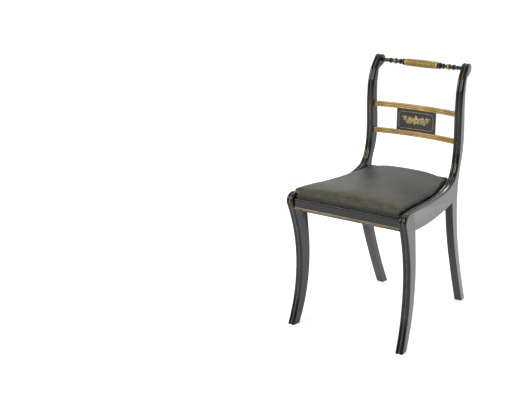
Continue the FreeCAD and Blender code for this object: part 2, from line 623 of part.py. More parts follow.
def seat_frame():
    """Four rails: the side ones are tenoned into the front and back ones."""
    under, top = seat_layers()[:2]
    slab = seat_band(under, top)
    front, back = frame_span()
    inside_front, inside_back = front + FRAME_WIDTH, back - FRAME_WIDTH
    front_piece = slab.common(frame_plan(front, inside_front))
    back_piece = slab.common(frame_plan(inside_back, back))
    outer = frame_plan(inside_front, inside_back)
    side = slab.common(outer).cut(frame_plan(inside_front - 1.0, inside_back + 1.0, FRAME_WIDTH))
    right = side.common(box((0.0, HALF_FRONT), (0.0, back), (0.0, BEYOND)))
    middle = (under + top) / 2.0
    half = FRAME_TENON_THICK / 2.0
    tongue = seat_band(middle - half, middle + half)
    slot = seat_band(middle - half - TENON_FIT, middle + half + TENON_FIT)
    for y_in, y_end, gap in ((inside_front, inside_front - FRAME_TENON, -TENON_END_GAP),
                             (inside_back, inside_back + FRAME_TENON, TENON_END_GAP)):
        centre = frame_corner(y_in, FRAME_WIDTH / 2.0)
        x = (centre - FRAME_TENON_WIDTH / 2.0, centre + FRAME_TENON_WIDTH / 2.0)
        reach = sorted((y_in + math.copysign(TENON_ROOT, -gap), y_end))
        right = right.fuse(tongue.common(box(x, reach, (0.0, BEYOND))))
        free_x = (x[0] - TENON_FIT, x[1] + TENON_FIT)
        hole = slot.common(box(free_x, sorted((reach[0] if gap > 0 else reach[1], y_end + gap)),
                               (0.0, BEYOND)))
        if gap < 0:
            front_piece = front_piece.cut([hole, mirrored(hole)])
        else:
            back_piece = back_piece.cut([hole, mirrored(hole)])
    right = right.removeSplitter()
    return front_piece, back_piece, mirrored(right), right


def webbing():
    """Straps across the frame, straps along it over them, and the base cloth on top."""
    under, top, mid, high, cloth = seat_layers()
    front, back = frame_span()
    across_slab, along_slab = seat_band(top, mid), seat_band(mid, high)
    pitch = (back - front - 2.0 * STRAP_END - STRAP_WIDTH) / (STRAPS_ACROSS - 1)
    crosswise = []
    for index in range(STRAPS_ACROSS):
        low = front + STRAP_END + index * pitch
        crosswise.append(across_slab.common(frame_plan(low, low + STRAP_WIDTH, STRAP_END)))
    spread = (2.0 * frame_corner(back, STRAP_END) - STRAP_WIDTH) / (STRAPS_ALONG - 1)
    lengthwise = []
    for index in range(STRAPS_ALONG):
        centre = (index - (STRAPS_ALONG - 1) / 2.0) * spread
        x = (centre - STRAP_WIDTH / 2.0, centre + STRAP_WIDTH / 2.0)
        lengthwise.append(along_slab.common(box(x, (front + STRAP_END, back - STRAP_END), (0.0, BEYOND))))
    cloth_sheet = seat_band(high, cloth).common(frame_plan(front + STRAP_END / 2.0,
                                                           back - STRAP_END / 2.0, STRAP_END / 2.0))
    return Part.makeCompound(crosswise), Part.makeCompound(lengthwise), cloth_sheet


def circle_through(a, b, c):
    """Centre and radius of the circle through three points of a plane."""
    bx, bz, cx, cz = b[0] - a[0], b[1] - a[1], c[0] - a[0], c[1] - a[1]
    twice = 2.0 * (bx * cz - bz * cx)
    b_b, c_c = bx * bx + bz * bz, cx * cx + cz * cz
    across_a, up_a = (cz * b_b - bz * c_c) / twice, (bx * c_c - cx * b_b) / twice
    return (a[0] + across_a, a[1] + up_a), math.hypot(across_a, up_a)


def crossing(first, second, near):
    """Where two circles cross, at the crossing nearer to a given point."""
    (x1, z1), r1 = first
    (x2, z2), r2 = second
    apart = math.hypot(x2 - x1, z2 - z1)
    along = (r1 * r1 - r2 * r2 + apart * apart) / (2.0 * apart)
    aside = math.sqrt(r1 * r1 - along * along)
    ux, uz = (x2 - x1) / apart, (z2 - z1) / apart
    found = [(x1 + along * ux - side * aside * uz, z1 + along * uz + side * aside * ux)
             for side in (1.0, -1.0)]
    return min(found, key=lambda point: math.dist(point, near))


def toward_centre(circle, point, shrink):
    """A point of a circle, moved inwards."""
    (cx, cz), radius = circle
    keep = (radius - shrink) / radius
    return cx + keep * (point[0] - cx), cz + keep * (point[1] - cz)


def under_roll(circle, at, shrink):
    """Lower point of a shrunk circle at a given place across it."""
    (cx, cz), radius = circle
    return at, cz - math.sqrt((radius - shrink) ** 2 - (at - cx) ** 2)


def pad_section(y, shrink):
    """Section of the covered seat across the chair: upright sides, swelling edge, crown."""
    wall = inner_x(y) - SEAT_GAP - PAD_SWELL
    fold, edge = seat_height(y, PAD_FOLD), seat_height(y, PAD_EDGE)
    shoulder = (wall - PAD_ROUND, edge + PAD_SHOULDER)
    belly = (wall + PAD_SWELL, (fold + edge) / 2.0)
    roll = circle_through((wall, fold), belly, shoulder)
    crown = (0.0, edge + PAD_CROWN)
    top = circle_through(shoulder, crown, (-shoulder[0], shoulder[1]))
    foot = (wall - shrink, seat_height(y) - ROOM)
    start = under_roll(roll, wall - shrink, shrink)
    middle, high = toward_centre(roll, belly, shrink), toward_centre(top, crown, shrink)
    end = crossing((roll[0], roll[1] - shrink), (top[0], top[1] - shrink), shoulder)

    def at(point, side=1.0):
        return V(side * point[0], y, point[1])

    def line(first, last):
        return Part.LineSegment(first, last).toShape()

    return Part.Wire([line(at(foot, -1.0), at(foot)), line(at(foot), at(start)),
                      Part.Arc(at(start), at(middle), at(end)).toShape(),
                      Part.Arc(at(end), at(high), at(end, -1.0)).toShape(),
                      Part.Arc(at(end, -1.0), at(middle, -1.0), at(start, -1.0)).toShape(),
                      line(at(start, -1.0), at(foot, -1.0))])


def pad_side_view(shrink):
    """Outline of the covered seat from the side, with its rounded front and back."""
    ends = []
    for y, out, swell in ((SEAT_FRONT_Y, -1.0, PAD_FRONT_SWELL), (SEAT_BACK_Y, 1.0, PAD_SWELL)):
        fold, edge = seat_height(y, PAD_FOLD), seat_height(y, PAD_EDGE)
        belly, last = (y + out * swell, (fold + edge) / 2.0), (y - out * PAD_ROUND, edge + PAD_CROWN)
        roll = circle_through((y, fold), belly, last)
        inside = y - out * shrink
        start = under_roll(roll, inside, shrink)
        middle, end = toward_centre(roll, belly, shrink), toward_centre(roll, last, shrink)
        above = (end[0], end[1] + ROOM)
        arc = Part.Arc(in_plane(start), in_plane(middle), in_plane(end)).toShape()
        ends.append(([line_edge((inside, 0.0), start), arc, line_edge(end, above)], above, inside))
    edges = ends[0][0] + ends[1][0]
    edges += [line_edge(ends[0][1], ends[1][1]), line_edge((ends[0][2], 0.0), (ends[1][2], 0.0))]
    return Part.Face(Part.Wire(Part.__sortEdges__(edges)))


def pad_form(shrink, bottom):
    """Covered seat, less a shrink all round, from a height above its underside."""
    stations = [SEAT_FRONT_Y - ROOM / 2.0, SEAT_FRONT_Y + 2.0 * ROOM, SEAT_DIP_Y,
                SEAT_BACK_Y - 2.0 * ROOM, SEAT_BACK_Y + ROOM / 2.0]
    body = Part.makeLoft([pad_section(y, shrink) for y in stations], True, False)
    ends = across(pad_side_view(shrink), -HALF_FRONT, HALF_FRONT)
    return body.common(ends).common(seat_band(bottom, 2.0 * ROOM))


def soft_seat():
    """Cover with its turned-in edge, the stuffing in it and the dust cover under it."""
    cloth_top = seat_layers()[4]
    outside = pad_form(0.0, DUST_COVER)
    inside = pad_form(COVER, DUST_COVER + COVER)
    front, back = frame_span()
    open_below = frame_plan(front + COVER_RETURN, back - COVER_RETURN, COVER_RETURN)
    below = seat_band(0.0, DUST_COVER + 2.0 * COVER).common(open_below)
    cover = outside.cut(inside).cut(below)
    stuffing = pad_form(COVER + FRAME_FIT, cloth_top + FRAME_FIT)
    dust = seat_band(0.0, DUST_COVER).common(frame_plan(front + DUST_INSET, back - DUST_INSET, DUST_INSET))
    return cover, stuffing, dust


def turned_up(profile, tip):
    """Pin turned about the z axis: its outline from the head's edge to a point at tip."""
    ring = [V(r, 0, z) for r, z in profile] + [V(0, 0, tip), V(0, 0, profile[0][1])]
    return Part.Face(Part.makePolygon(ring + ring[:1])).revolve(V(0, 0, 0), V(0, 0, 1), 360.0)


def tack_places():
    """Where the tacks stand: five in each rail of the seat frame, a set way from its edge."""
    front, back = frame_span()
    places = []
    for index in range(TACKS_PER_SIDE):
        share = index / (TACKS_PER_SIDE - 1.0)
        for y in (front + TACK_INSET, back - TACK_INSET):
            reach = frame_corner(y, TACK_END)
            places.append((reach * (2.0 * share - 1.0), y))
        y = front + TACK_END + share * (back - front - 2.0 * TACK_END)
        places += [(frame_corner(y, TACK_INSET), y), (-frame_corner(y, TACK_INSET), y)]
    return places


def cover_tacks():
    """Tacks through the dust cover and the cover's edge, and the holes for them."""
    tack = turned_up([(TACK_HEAD_R / 2.0, -TACK_HEAD), (TACK_HEAD_R, 0.0), (TACK_SHANK_R, 0.0),
                      (TACK_SHANK_R, TACK_SHANK - TACK_POINT)], TACK_SHANK)
    hole = Part.makeCylinder(TACK_SHANK_R + TACK_FIT, TACK_SHANK + TACK_FIT)
    tacks, holes = [], []
    for x, y in tack_places():
        place = FreeCAD.Placement(V(x, y, seat_height(y, -TACK_FIT)),
                                  FreeCAD.Rotation(V(1, 0, 0), seat_slope(y)))
        for shape, group in ((tack, tacks), (hole, holes)):
            moved = shape.copy()
            moved.Placement = place
            group.append(moved)
    return Part.makeCompound(tacks), holes


# Corner blocks

def corner_block(rail_face, away):
    """Right-hand block at a rail's face: away is +1 behind the front rail, -1 before the back one."""
    far = rail_face + away * BLOCK_LEG
    corner = inner_x(rail_face)
    plan = [(corner, rail_face), (corner - BLOCK_LEG, rail_face),
            (corner - BLOCK_LEG, rail_face + away * BLOCK_BLUNT), (inner_x(far) - BLOCK_BLUNT, far),
            (inner_x(far), far)]
    block = plan_prism(plan, BLOCK_BOTTOM, BLOCK_TOP)
    side_y = rail_face + away * SCREW_OFFSET
    starts = [(V(corner - SCREW_OFFSET, rail_face - away * SCREW_BITE_RAIL, SCREW_Z), V(0, away, 0)),
              (V(inner_x(side_y) + SCREW_BITE_BOARD, side_y, SCREW_Z), V(-1, 0, 0))]
    return block, starts


def screw_and_hole(tip, direction):
    """Countersunk wood screw from its tip to its head, and the hole and counterbore for it."""
    screw = turned_up([(SCREW_HEAD_R, -SCREW_LENGTH), (SCREW_R, SCREW_HEAD - SCREW_LENGTH),
                       (SCREW_R, -SCREW_POINT)], 0.0)
    bore = Part.makeCylinder(SCREW_R + SCREW_FIT, SCREW_LENGTH, V(0, 0, -SCREW_LENGTH))
    sink = Part.makeCone(SCREW_HEAD_R + SCREW_FIT, SCREW_R + SCREW_FIT, SCREW_HEAD, V(0, 0, -SCREW_LENGTH))
    counterbore = Part.makeCylinder(SCREW_HEAD_R + SCREW_FIT, BLOCK_LEG, V(0, 0, -SCREW_LENGTH - BLOCK_LEG))
    hole = bore.fuse([sink, counterbore])
    turn = FreeCAD.Rotation(V(0, 0, -1), direction)
    for shape in (screw, hole):
        shape.Placement = FreeCAD.Placement(tip, turn)
    return screw, hole


def export(pieces):
    """Write every piece with the origin under the middle of the chair."""
    os.makedirs("parts", exist_ok=True)
    boxes = [shape.optimalBoundingBox(False, False) for shape in pieces.values()]
    middle = (min(b.YMin for b in boxes) + max(b.YMax for b in boxes)) / 2.0
    for name, shape in pieces.items():
        moved = shape.copy()
        moved.translate(V(0, -middle, 0))
        moved.exportStep("parts/" + name + ".step")
        print("%-24s valid %s solids %d volume %.0f" % (name, moved.isValid(), len(moved.Solids),
                                                       moved.Volume))
    print("size %.1f x %.1f x %.1f, middle at y = %.2f" % (
        max(b.XMax for b in boxes) - min(b.XMin for b in boxes),
        max(b.YMax for b in boxes) - min(b.YMin for b in boxes),
        max(b.ZMax for b in boxes) - min(b.ZMin for b in boxes), middle))


def add_blocks(pieces):
    """Corner blocks and their screws. Gives back the holes at the front right and rear right."""
    screws, holes = [], {}
    for end, rail_face, away in (("front", FRONT_RAIL_Y + FRONT_RAIL_THICK, 1.0),
                                 ("rear", BACK_RAIL_Y, -1.0)):
        block, starts = corner_block(rail_face, away)
        made = [screw_and_hole(tip, direction) for tip, direction in starts]
        holes[end] = [hole for screw, hole in made]
        for screw, hole in made:
            screws += [screw, mirrored(screw)]
        pieces[end + "_right_corner_block"] = block.cut(holes[end])
        pieces[end + "_left_corner_block"] = mirrored(pieces[end + "_right_corner_block"])
    pieces["corner_block_screws"] = Part.makeCompound(screws)
    return holes["front"], holes["rear"]


def add_seat(pieces):
    for name, shape in zip(("front", "back", "left", "right"), seat_frame()):
        pieces["seat_frame_" + name] = shape
    pieces["webbing_crosswise"], pieces["webbing_lengthwise"], pieces["base_cloth"] = webbing()
    pieces["seat_cover"], pieces["seat_stuffing"], pieces["dust_cover"] = soft_seat()
    pieces["cover_tacks"], holes = cover_tacks()
    tacked = [name for name in pieces if name.startswith("seat_frame_")] + ["seat_cover", "dust_cover"]
    for name in tacked:
        near = [hole for hole in holes if hole.BoundBox.intersect(pieces[name].BoundBox)]
        pieces[name] = pieces[name].cut(near)


def chair():
    pieces = {}
    rail_front, mortise_front = front_rail()
    rail_back, mortise_back = back_rail()
    pieces["crest_rail"], mortise_crest = crest_rail()
    upper, mortise_upper = cross_rail(UPPER_CROSS_Z)
    lower, mortise_lower = cross_rail(LOWER_CROSS_Z)
    pieces["tablet_panel"], groove = tablet()
    pieces["upper_cross_rail"] = upper.cut(groove)
    pieces["lower_cross_rail"] = lower.cut(groove)
    holes_front, holes_rear = add_blocks(pieces)
    pieces["front_rail"] = rail_front.cut(holes_front + [mirrored(hole) for hole in holes_front])
    pieces["back_rail"] = rail_back.cut(holes_rear + [mirrored(hole) for hole in holes_rear])
    openings = {"front_leg": [mortise_front] + holes_front, "side_rail": holes_rear,
                "back_post": [mortise_back, mortise_crest, mortise_upper, mortise_lower]}
    for name, shape in cut_joints(moulded_board()).items():
        pieces["right_" + name] = placed(shape, 1.0).cut(openings[name])
        pieces["left_" + name] = placed(shape, -1.0).cut([mirrored(hole) for hole in openings[name]])
    add_seat(pieces)
    return pieces


if __name__ == "__main__":
    export(chair())
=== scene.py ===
"""Klismos side chair: ebonised frame with gilt lines, turned crest, drop-in horsehair seat.

Shapes are drawn in millimetres in the chair's drawing frame, where y = 0 is the front edge of the
front feet, and become metres round the middle of the chair when their mesh is made.
"""

import math

import bmesh
import bpy
import numpy as np
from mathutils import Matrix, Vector


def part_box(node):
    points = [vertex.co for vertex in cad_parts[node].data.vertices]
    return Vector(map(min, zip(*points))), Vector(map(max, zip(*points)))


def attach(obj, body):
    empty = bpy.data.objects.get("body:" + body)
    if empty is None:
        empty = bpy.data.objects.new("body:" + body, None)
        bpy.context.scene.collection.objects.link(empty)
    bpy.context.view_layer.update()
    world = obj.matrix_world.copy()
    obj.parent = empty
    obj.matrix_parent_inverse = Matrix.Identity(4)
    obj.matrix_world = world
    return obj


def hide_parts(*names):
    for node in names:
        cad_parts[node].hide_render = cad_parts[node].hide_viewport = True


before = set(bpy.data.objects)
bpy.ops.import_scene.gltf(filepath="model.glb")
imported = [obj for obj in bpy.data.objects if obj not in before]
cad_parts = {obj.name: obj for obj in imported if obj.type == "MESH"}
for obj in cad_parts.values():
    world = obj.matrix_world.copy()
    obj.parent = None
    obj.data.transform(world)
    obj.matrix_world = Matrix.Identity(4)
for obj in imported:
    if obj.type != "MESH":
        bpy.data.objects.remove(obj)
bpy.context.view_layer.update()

MM = 0.001

# Side frames: boards that stand closer together at the back
FRONT_WIDTH = 429.0           # over both boards at the front
ALPHA = math.radians(5.1)     # turn of each board towards the chair's middle line
BOARD = 26.0                  # thickness of a board
HALF_BOARD = BOARD / 2.0
FILLET_WIDTH = 3.0
FILLET_DEPTH = 2.4
REED_EDGE = 5.5               # how far a reed rolls over onto the side of the board
REED_CREST = 6.5              # from the middle of the board to the crest of a reed
REED_FLAT = 0.8               # flat rim on the side of the board, past the reed
WORN_REED = 2.0               # width along a reeded edge where the black is rubbed
WORN_EDGE = 1.0               # the same along a plain edge
ARRIS = 1.2                   # rounding of all plain edges
LEG_FRONT_R = 508.0           # arc of the sabre leg's front
LEG_BEND_Z = 195.3            # height of that arc's centre
SHOULDER_R = 28.0
SHOULDER_Z = 428.0            # height of the shoulder's centre
ROLL_CENTRE = (473.0, 822.0)
ROLL_R = 18.0
ROLL_START = 145.0            # degrees round the roll's centre
ROLL_END = -90.0
# stations of an outline: s, z and heading in degrees, from backwards towards up
SWEEP = ((230.0, 447.3, 0.0), (352.0, 456.5, 15.0), (398.0, 484.0, 57.0), (412.5, 517.0, 74.0),
         (420.5, 590.0, 90.0), (417.5, 690.0, 90.0), (432.0, 790.0, 67.0))
UNDERCUT = 195.0              # heading with which the back of the stile leaves the roll
REAR = ((449.0, 786.0, 262.0), (443.5, 735.0, 270.0), (453.0, 592.0, 270.0), (421.0, 426.0, 270.0),
        (549.0, 0.0, 297.0))
REAR_LEG_FRONT = ((519.0, 0.0, 116.0), (376.0, 395.0, 99.0))
RAIL_BELLY = (205.0, 382.0)
FRONT_LEG_BACK = ((66.0, 389.0, 277.0), (82.5, 222.0, 270.0), (32.0, 0.0, 243.0))
LEG_JOINT_TOP = (39.0, 470.0)

# Rails under the seat
FRONT_RAIL_Y = -5.0
FRONT_RAIL_THICK = 22.0
FRONT_LEDGE = 434.0
LIP = 6.0
LIP_HEIGHT = 4.0
FRONT_RAIL_BOTTOM = 400.5
BEAD_R = 3.8
BEAD_PROUD = 1.6
GILT_STRIP = 3.0
GILT_SUNK = 0.8
STRIP_CORNER = 0.3            # rounding over the gilt strip
STRIP_FOOT = 0.1              # rounding at its sunk upper corner
REBATE_CORNER = 0.4
WORN_FRONT = 2.0              # depth of a rail's front where the black is rubbed
RAIL_STATIONS = 25
BACK_RAIL_Y = 388.0
BACK_RAIL_THICK = 23.0
BACK_RAIL_BOTTOM = 398.0

# Turned crest rail
CREST_NECK_R = 5.8
CREST_TENON = 2.0             # how far the crest reaches into each board
CREST_STATIONS = 520
CREST_ROUND = 144             # vertices round the crest
WORN_CREST_R = 8.5            # turnings thicker than this are rubbed
ROPE_HALF = 59.0
ROPE_R = 13.0
ROPE_END_R = 11.8
ROPE_STRANDS = 9
ROPE_LEAD = 92.0              # length in which a strand goes once round
ROPE_CUT = 2.0                # depth of the grooves between strands
ROPE_FADE = 3.0               # length in which the grooves run out, just short of the middle's ends
ROPE_PLAIN = 2.0              # plain length at each end of it
GILT_RING = 98.5              # distance of the gilt bead from the middle
GILT_RING_HALF = 3.0
# turned beads on each side: distance from the middle, half length, radius
CREST_BEADS = ((66.0, 7.2, 11.2), (79.5, 5.6, 9.4), (92.0, 2.6, 8.0), (GILT_RING, 3.2, 10.4),
               (104.5, 2.6, 7.6), (116.0, 6.6, 9.4), (130.0, 3.2, 7.4), (139.0, 3.4, 7.0))

# Bowed cross rails and the tablet
CROSS_FRONT_Y = 425.0
CROSS_BOW = 18.0
CROSS_DEPTH = 11.0
CROSS_HEIGHT = 17.4
CROSS_REEDS = 3
CROSS_REED_R = 3.6
CROSS_STATIONS = 49
CROSS_ROUNDS = 8              # rounds of fitting a rail's ends to the boards
UPPER_CROSS_Z = 677.0
LOWER_CROSS_Z = 586.0
TABLET_WIDTH = 144.0
TABLET_THICK = 6.5
TABLET_SETBACK = 2.2
TABLET_RIM = 0.985            # share of the half width at which the rounded upright edges begin
TABLET_PLAIN = 0.97           # share of it that is sampled evenly
TABLET_ROWS = 12
BORDER_INSET = 8.5
BORDER_CORNER = 6.0
BORDER_WIDTH = 1.1
BORDER_STEP = 4.0             # rough spacing of the vertices along a run of the border
PAINT_PROUD = 0.12
PAINT_SUNK = 0.3
PAINT_TOP = 0.94              # size of a painted shape's upper rim, as a share of its lower one

# Drop-in seat: heights are above its swept underside
SEAT_GAP = 1.4
SEAT_LIFT = 0.3
SEAT_END_GAP = 1.0            # between the seat and the lips in front of it and behind it
SEAT_FRONT_Y = FRONT_RAIL_Y + LIP + SEAT_END_GAP
SEAT_BACK_Y = 405.0
SEAT_DIP_Y = 230.0
SEAT_SAG = 8.7
SEAT_BACK_RISE = 15.0
SEAT_RUN_ON = 20.0            # how far the underside's line goes on straight past both ends
DUST_COVER = 0.7
COVER = 1.2
COVER_RETURN = 32.0           # width of the cover's edge that is turned in below the frame
FRAME_THICK = 13.0
STRAP_WIDTH = 46.0
STRAP_THICK = 1.3
STRAP_END = 8.0               # from the frame's edge to the end of a strap
STRAPS_ACROSS = 4
STRAPS_ALONG = 3
BASE_CLOTH = 0.8
SHEET_ROWS = 60
SHEET_COLUMNS = 24
LAYER_GAP = 0.2               # clearance between two layers of the seat
STUFFING_WALL = 0.5           # how far the stuffing stands inside the cover below its fold
STUFFING_DEPTH = 2.6          # the same over the rolled edge and the top
PAD_FOLD = 13.0               # where the pad starts to swell at the front and at the back
PAD_SIDE_FOLD = 24.3          # the same at the sides, over the inner reeds
PAD_EDGE = 39.0               # height of the pad's edge over the seat's underside, at the front
PAD_EDGE_DROP = 10.0          # how much less that is at the back
PAD_BACK_CORNER = 9.0         # how much lower the pad's top is at its back corners
PAD_BACK_REACH = 55.0         # how far that reaches
PAD_CROWN = 8.0               # rise of the pad's middle over its edge
PAD_SHOULDER = 1.5            # how far above its edge the rolled edge meets the top
PAD_SWELL = 2.6               # how far the pad swells out past its fold
PAD_FRONT_SWELL = 5.4         # the same at the front
PAD_OVERLAP = 11.4            # how much further it swells over the reeds
PAD_OVERLAP_END = 372.0       # distance from the front at which that has died away
PAD_OVERLAP_RUN = 120.0       # length in which it dies away
PAD_FOLD_RUN = 40.0           # length in which the side's fold comes down behind the overlap
PAD_ROUND = 24.0              # how far the rounding of its edge reaches in over the top
PAD_FRONT_ROUND = 36.0        # the same at the front
PAD_BELLY = 0.42              # height of the belly, as a share of the way from the fold to the top
PAD_SOFTER = 4                # rounds of smoothing that take the creases out of the pad's edge
PAD_CORNER = 5.0              # rounding of the pad's corners in plan
PAD_WALL = 0.1                # how far inside its outline the pad stands below the fold
PAD_SLACK = 1.8               # how much smaller the rolled edge and the top start before they swell
PAD_UNDER = 0.5               # how far inside the pad's wall its underside ends
PAD_LAST_RING = 0.97          # share of the way to its middle at which the pad's last ring lies
PAD_MARGIN = 0.2              # how far short of the pad's own surface the swelling stops
PAD_DRAW = 0.4                # how far the swelling top may draw the edge in
WORN_DEPTH = 70.0             # how far back from the front edge the cloth is worn
WORN_RISE = 10.0              # height above the fold in which that wear comes in
SIDE_ZONE = 4.0               # how near to the pad's sides its fold is the sides' own
HOLD_ABOVE = 2.0              # height above the fold at which the cloth is quite free
HOLD_RUN = 3.0                # height in which the hold on it falls from whole to none
FACING = 0.3                  # least share of a normal that counts as facing a way
DRAWN_RUN = 4.0               # height below the fold in which the drawing out comes in
UNDER_ZONE = 2.5              # height over the dust cover that still counts as the cover's underside
EDGE_ZONE = 8.0               # how near to an edge of the seat frame the cloth is drawn out flat
DUST_INSET = 8.0
VOXEL = 5.0                   # size of the even faces that the pad is remade in
PRESSURE = 4.0                # from inside the pad, in the cloth simulation
STRETCH_HOLD = 20.0           # the cloth's resistance to stretching in it
BEND_HOLD = 1.0               # the cloth's resistance to bending in it
CLOTH_FRAMES = 20

# Camera and floor
CAMERA_PLACE = (1.6776, -3.10417, 1.4694)
CAMERA_TILT = 0.29830         # radians by which it looks down
CAMERA_TURN = 0.61843         # radians by which it looks to the left of straight back
LENS = 78.29
SENSOR = 36.0
FLOOR_REACH = 9.0


# Plane geometry: an arc is (centre, radius, start angle, sweep); the wood is on its right

def tangent_arc(start, direction, end):
    """Arc from start to end leaving in a unit direction: it turns by twice the angle to the chord."""
    cs, cz = end[0] - start[0], end[1] - start[1]
    turn = math.atan2(direction[0] * cz - direction[1] * cs, direction[0] * cs + direction[1] * cz)
    signed = math.hypot(cs, cz) / (2.0 * math.sin(turn))
    centre = (start[0] - signed * direction[1], start[1] + signed * direction[0])
    return centre, abs(signed), math.atan2(start[1] - centre[1], start[0] - centre[0]), 2.0 * turn


def biarc(first, last):
    """Two arcs that meet tangentially, with equal reach along the tangents of both stations."""
    p0, p1 = np.array(first[:2]), np.array(last[:2])
    t0, t1 = (np.array((math.cos(math.radians(s[2])), math.sin(math.radians(s[2])))) for s in (first, last))
    v = p1 - p0
    v_t = v @ (t0 + t1)
    spread = 2.0 * (1.0 - t0 @ t1)
    if spread < 1e-9:
        reach = v @ v / (2.0 * v_t)
    else:
        reach = (-v_t + math.sqrt(v_t ** 2 + spread * (v @ v))) / spread
    joint = (p0 + p1 + reach * (t0 - t1)) / 2.0
    centre, radius, angle, sweep = tangent_arc(p1, -t1, joint)
    return [tangent_arc(p0, t0, joint), (centre, radius, angle + sweep, -sweep)]


def smooth_path(stations):
    """Two arcs between each pair of neighbouring stations, in order."""
    return [arc for pair in zip(stations, stations[1:]) for arc in biarc(*pair)]


def arc_through(a, b, c):
    """Arc from a over b to c, about the point at the same distance from all three."""
    a, b, c = (np.array(p, float) for p in (a, b, c))
    middle = np.linalg.solve(2.0 * np.array((b - a, c - a)), np.array((b @ b - a @ a, c @ c - a @ a)))
    start, end = (math.atan2(*(p - middle)[::-1]) for p in (a, c))
    side = np.cross(b - a, c - b)
    sweep = (end - start) % (2.0 * math.pi) if side > 0 else -((start - end) % (2.0 * math.pi))
    return middle, float(np.linalg.norm(a - middle)), start, sweep


def sampled(arcs, step=4.0, turn=0.09):
    """Points along arcs and the inward normals there: centre plus radius along the angle."""
    points, inward = [], []
    for centre, radius, angle, sweep in arcs:
        count = 2 + int(max(abs(sweep) * radius / step, abs(sweep) / turn))
        angles = angle + sweep * np.linspace(0.0, 1.0, count)
        out = np.stack([np.cos(angles), np.sin(angles)], 1)
        first = 1 if points else 0
        points.append((np.array(centre) + radius * out)[first:])
        inward.append((out if sweep > 0 else -out)[first:])
    return np.concatenate(points), np.concatenate(inward)


def ended(path, place, along):
    """A path whose end row lies in a cut: the inward vector runs along the cut, as deep as before."""
    points, inward = path
    inward = inward.copy()
    along = np.array(along, float) / np.hypot(*along)
    inward[place] = along / (along @ inward[place])
    return points, inward


def cut(path, at, along):
    """The two halves of a path at the line through a point: rows are interpolated at the crossing."""
    points, inward = path
    side = np.cross(np.array(along, float), points - np.array(at))
    last = int(np.nonzero(side[:-1] * side[1:] <= 0.0)[0][0])
    share = side[last] / (side[last] - side[last + 1])
    point = points[last] + share * (points[last + 1] - points[last])
    normal = inward[last] + share * (inward[last + 1] - inward[last])
    before = np.vstack([points[:last + 1], point]), np.vstack([inward[:last + 1], normal])
    after = np.vstack([point, points[last + 1:]]), np.vstack([normal, inward[last + 1:]])
    return ended(before, -1, along), ended(after, 0, along)


def rounded(chain, radii, steps=4, closed=False):
    """Corners of a chain as arcs: each starts radius * tan(turn / 2) before its corner."""
    chain = np.array(chain, float)
    if closed:
        chain = np.vstack([chain[-1:], chain, chain[:1]])
    before, here, after = chain[:-2], chain[1:-1], chain[2:]
    a = (here - before) / np.linalg.norm(here - before, axis=1)[:, None]
    b = (after - here) / np.linalg.norm(after - here, axis=1)[:, None]
    turn = np.arctan2(a[:, 0] * b[:, 1] - a[:, 1] * b[:, 0], (a * b).sum(1))
    radii = np.broadcast_to(np.array(radii, float), turn.shape)
    left = np.stack([-a[:, 1], a[:, 0]], 1) * np.sign(turn)[:, None]
    start = here - a * (radii * np.tan(np.abs(turn) / 2.0))[:, None]
    angle = np.abs(turn)[:, None] * np.linspace(0.0, 1.0, steps)
    arc = (start[:, None] + radii[:, None, None] * (np.sin(angle)[..., None] * a[:, None]
                                                   + (1.0 - np.cos(angle))[..., None] * left[:, None]))
    return arc.reshape(-1, 2)


# From a drawing to the chair

def inner_x(y):
    """Inner face of the right board at a distance y from the front."""
    return FRONT_WIDTH / 2.0 - y * math.tan(ALPHA) - BOARD / math.cos(ALPHA)


def inner_y(s):
    """Distance from the front of a point s along the board, at its inner face."""
    return s * math.cos(ALPHA) - BOARD * math.sin(ALPHA)


CREST_Y = inner_y(ROLL_CENTRE[0])
crest_low, crest_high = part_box("crest_rail")
MIDDLE = CREST_Y - (crest_low.y + crest_high.y) / 2.0 / MM    # the chair's middle in the drawing


def on_board(points, side):
    """Board plane to chair: turn by the taper, then move out to the side. Points are (t, s, z)."""
    t, s, z = points[..., 0], points[..., 1], points[..., 2]
    turn = side * ALPHA
    x = t * math.cos(turn) - s * math.sin(turn) + side * (FRONT_WIDTH / 2.0 - HALF_BOARD * math.cos(ALPHA))
    y = t * math.sin(turn) + s * math.cos(turn) - HALF_BOARD * math.sin(ALPHA)
    return np.stack([x, y, z], -1)


# Meshes

def grid_quads(rows, columns, rows_closed=False, columns_closed=False):
    """Quads between neighbours of a grid of vertices that are numbered row by row."""
    index = np.arange(rows * columns).reshape(rows, columns)
    if rows_closed:
        index = np.vstack([index, index[:1]])
    if columns_closed:
        index = np.hstack([index, index[:, :1]])
    quads = np.stack([index[:-1, :-1], index[1:, :-1], index[1:, 1:], index[:-1, 1:]], -1)
    return quads.reshape(-1, 4)


def made_mesh(name, points, quads, caps=(), sharp=32.0):
    """Mesh of quads and flat caps, in metres round the chair's middle, with its faces outwards."""
    mesh = bpy.data.meshes.new(name)
    places = (np.asarray(points, float).reshape(-1, 3) - (0.0, MIDDLE, 0.0)) * MM
    mesh.from_pydata(places.tolist(), [], quads.tolist() + [list(map(int, cap)) for cap in caps])
    smooth = np.ones(len(mesh.polygons), bool)
    smooth[len(quads):] = False
    mesh.polygons.foreach_set("use_smooth", smooth)
    turned = bmesh.new()
    turned.from_mesh(mesh)
    if turned.calc_volume(signed=True) < 0.0:
        bmesh.ops.reverse_faces(turned, faces=turned.faces)
        turned.to_mesh(mesh)
    turned.free()
    mesh.set_sharp_from_angle(angle=math.radians(sharp))
    return mesh


def closed_rings(name, points):
    """Mesh of a grid's rows as closed rings, whose first and last ring are filled by a flat face."""
    rows, columns = points.shape[:2]
    last = (rows - 1) * columns + np.arange(columns)
    return made_mesh(name, points, grid_quads(rows, columns, columns_closed=True),
                     caps=(np.arange(columns)[::-1], last))


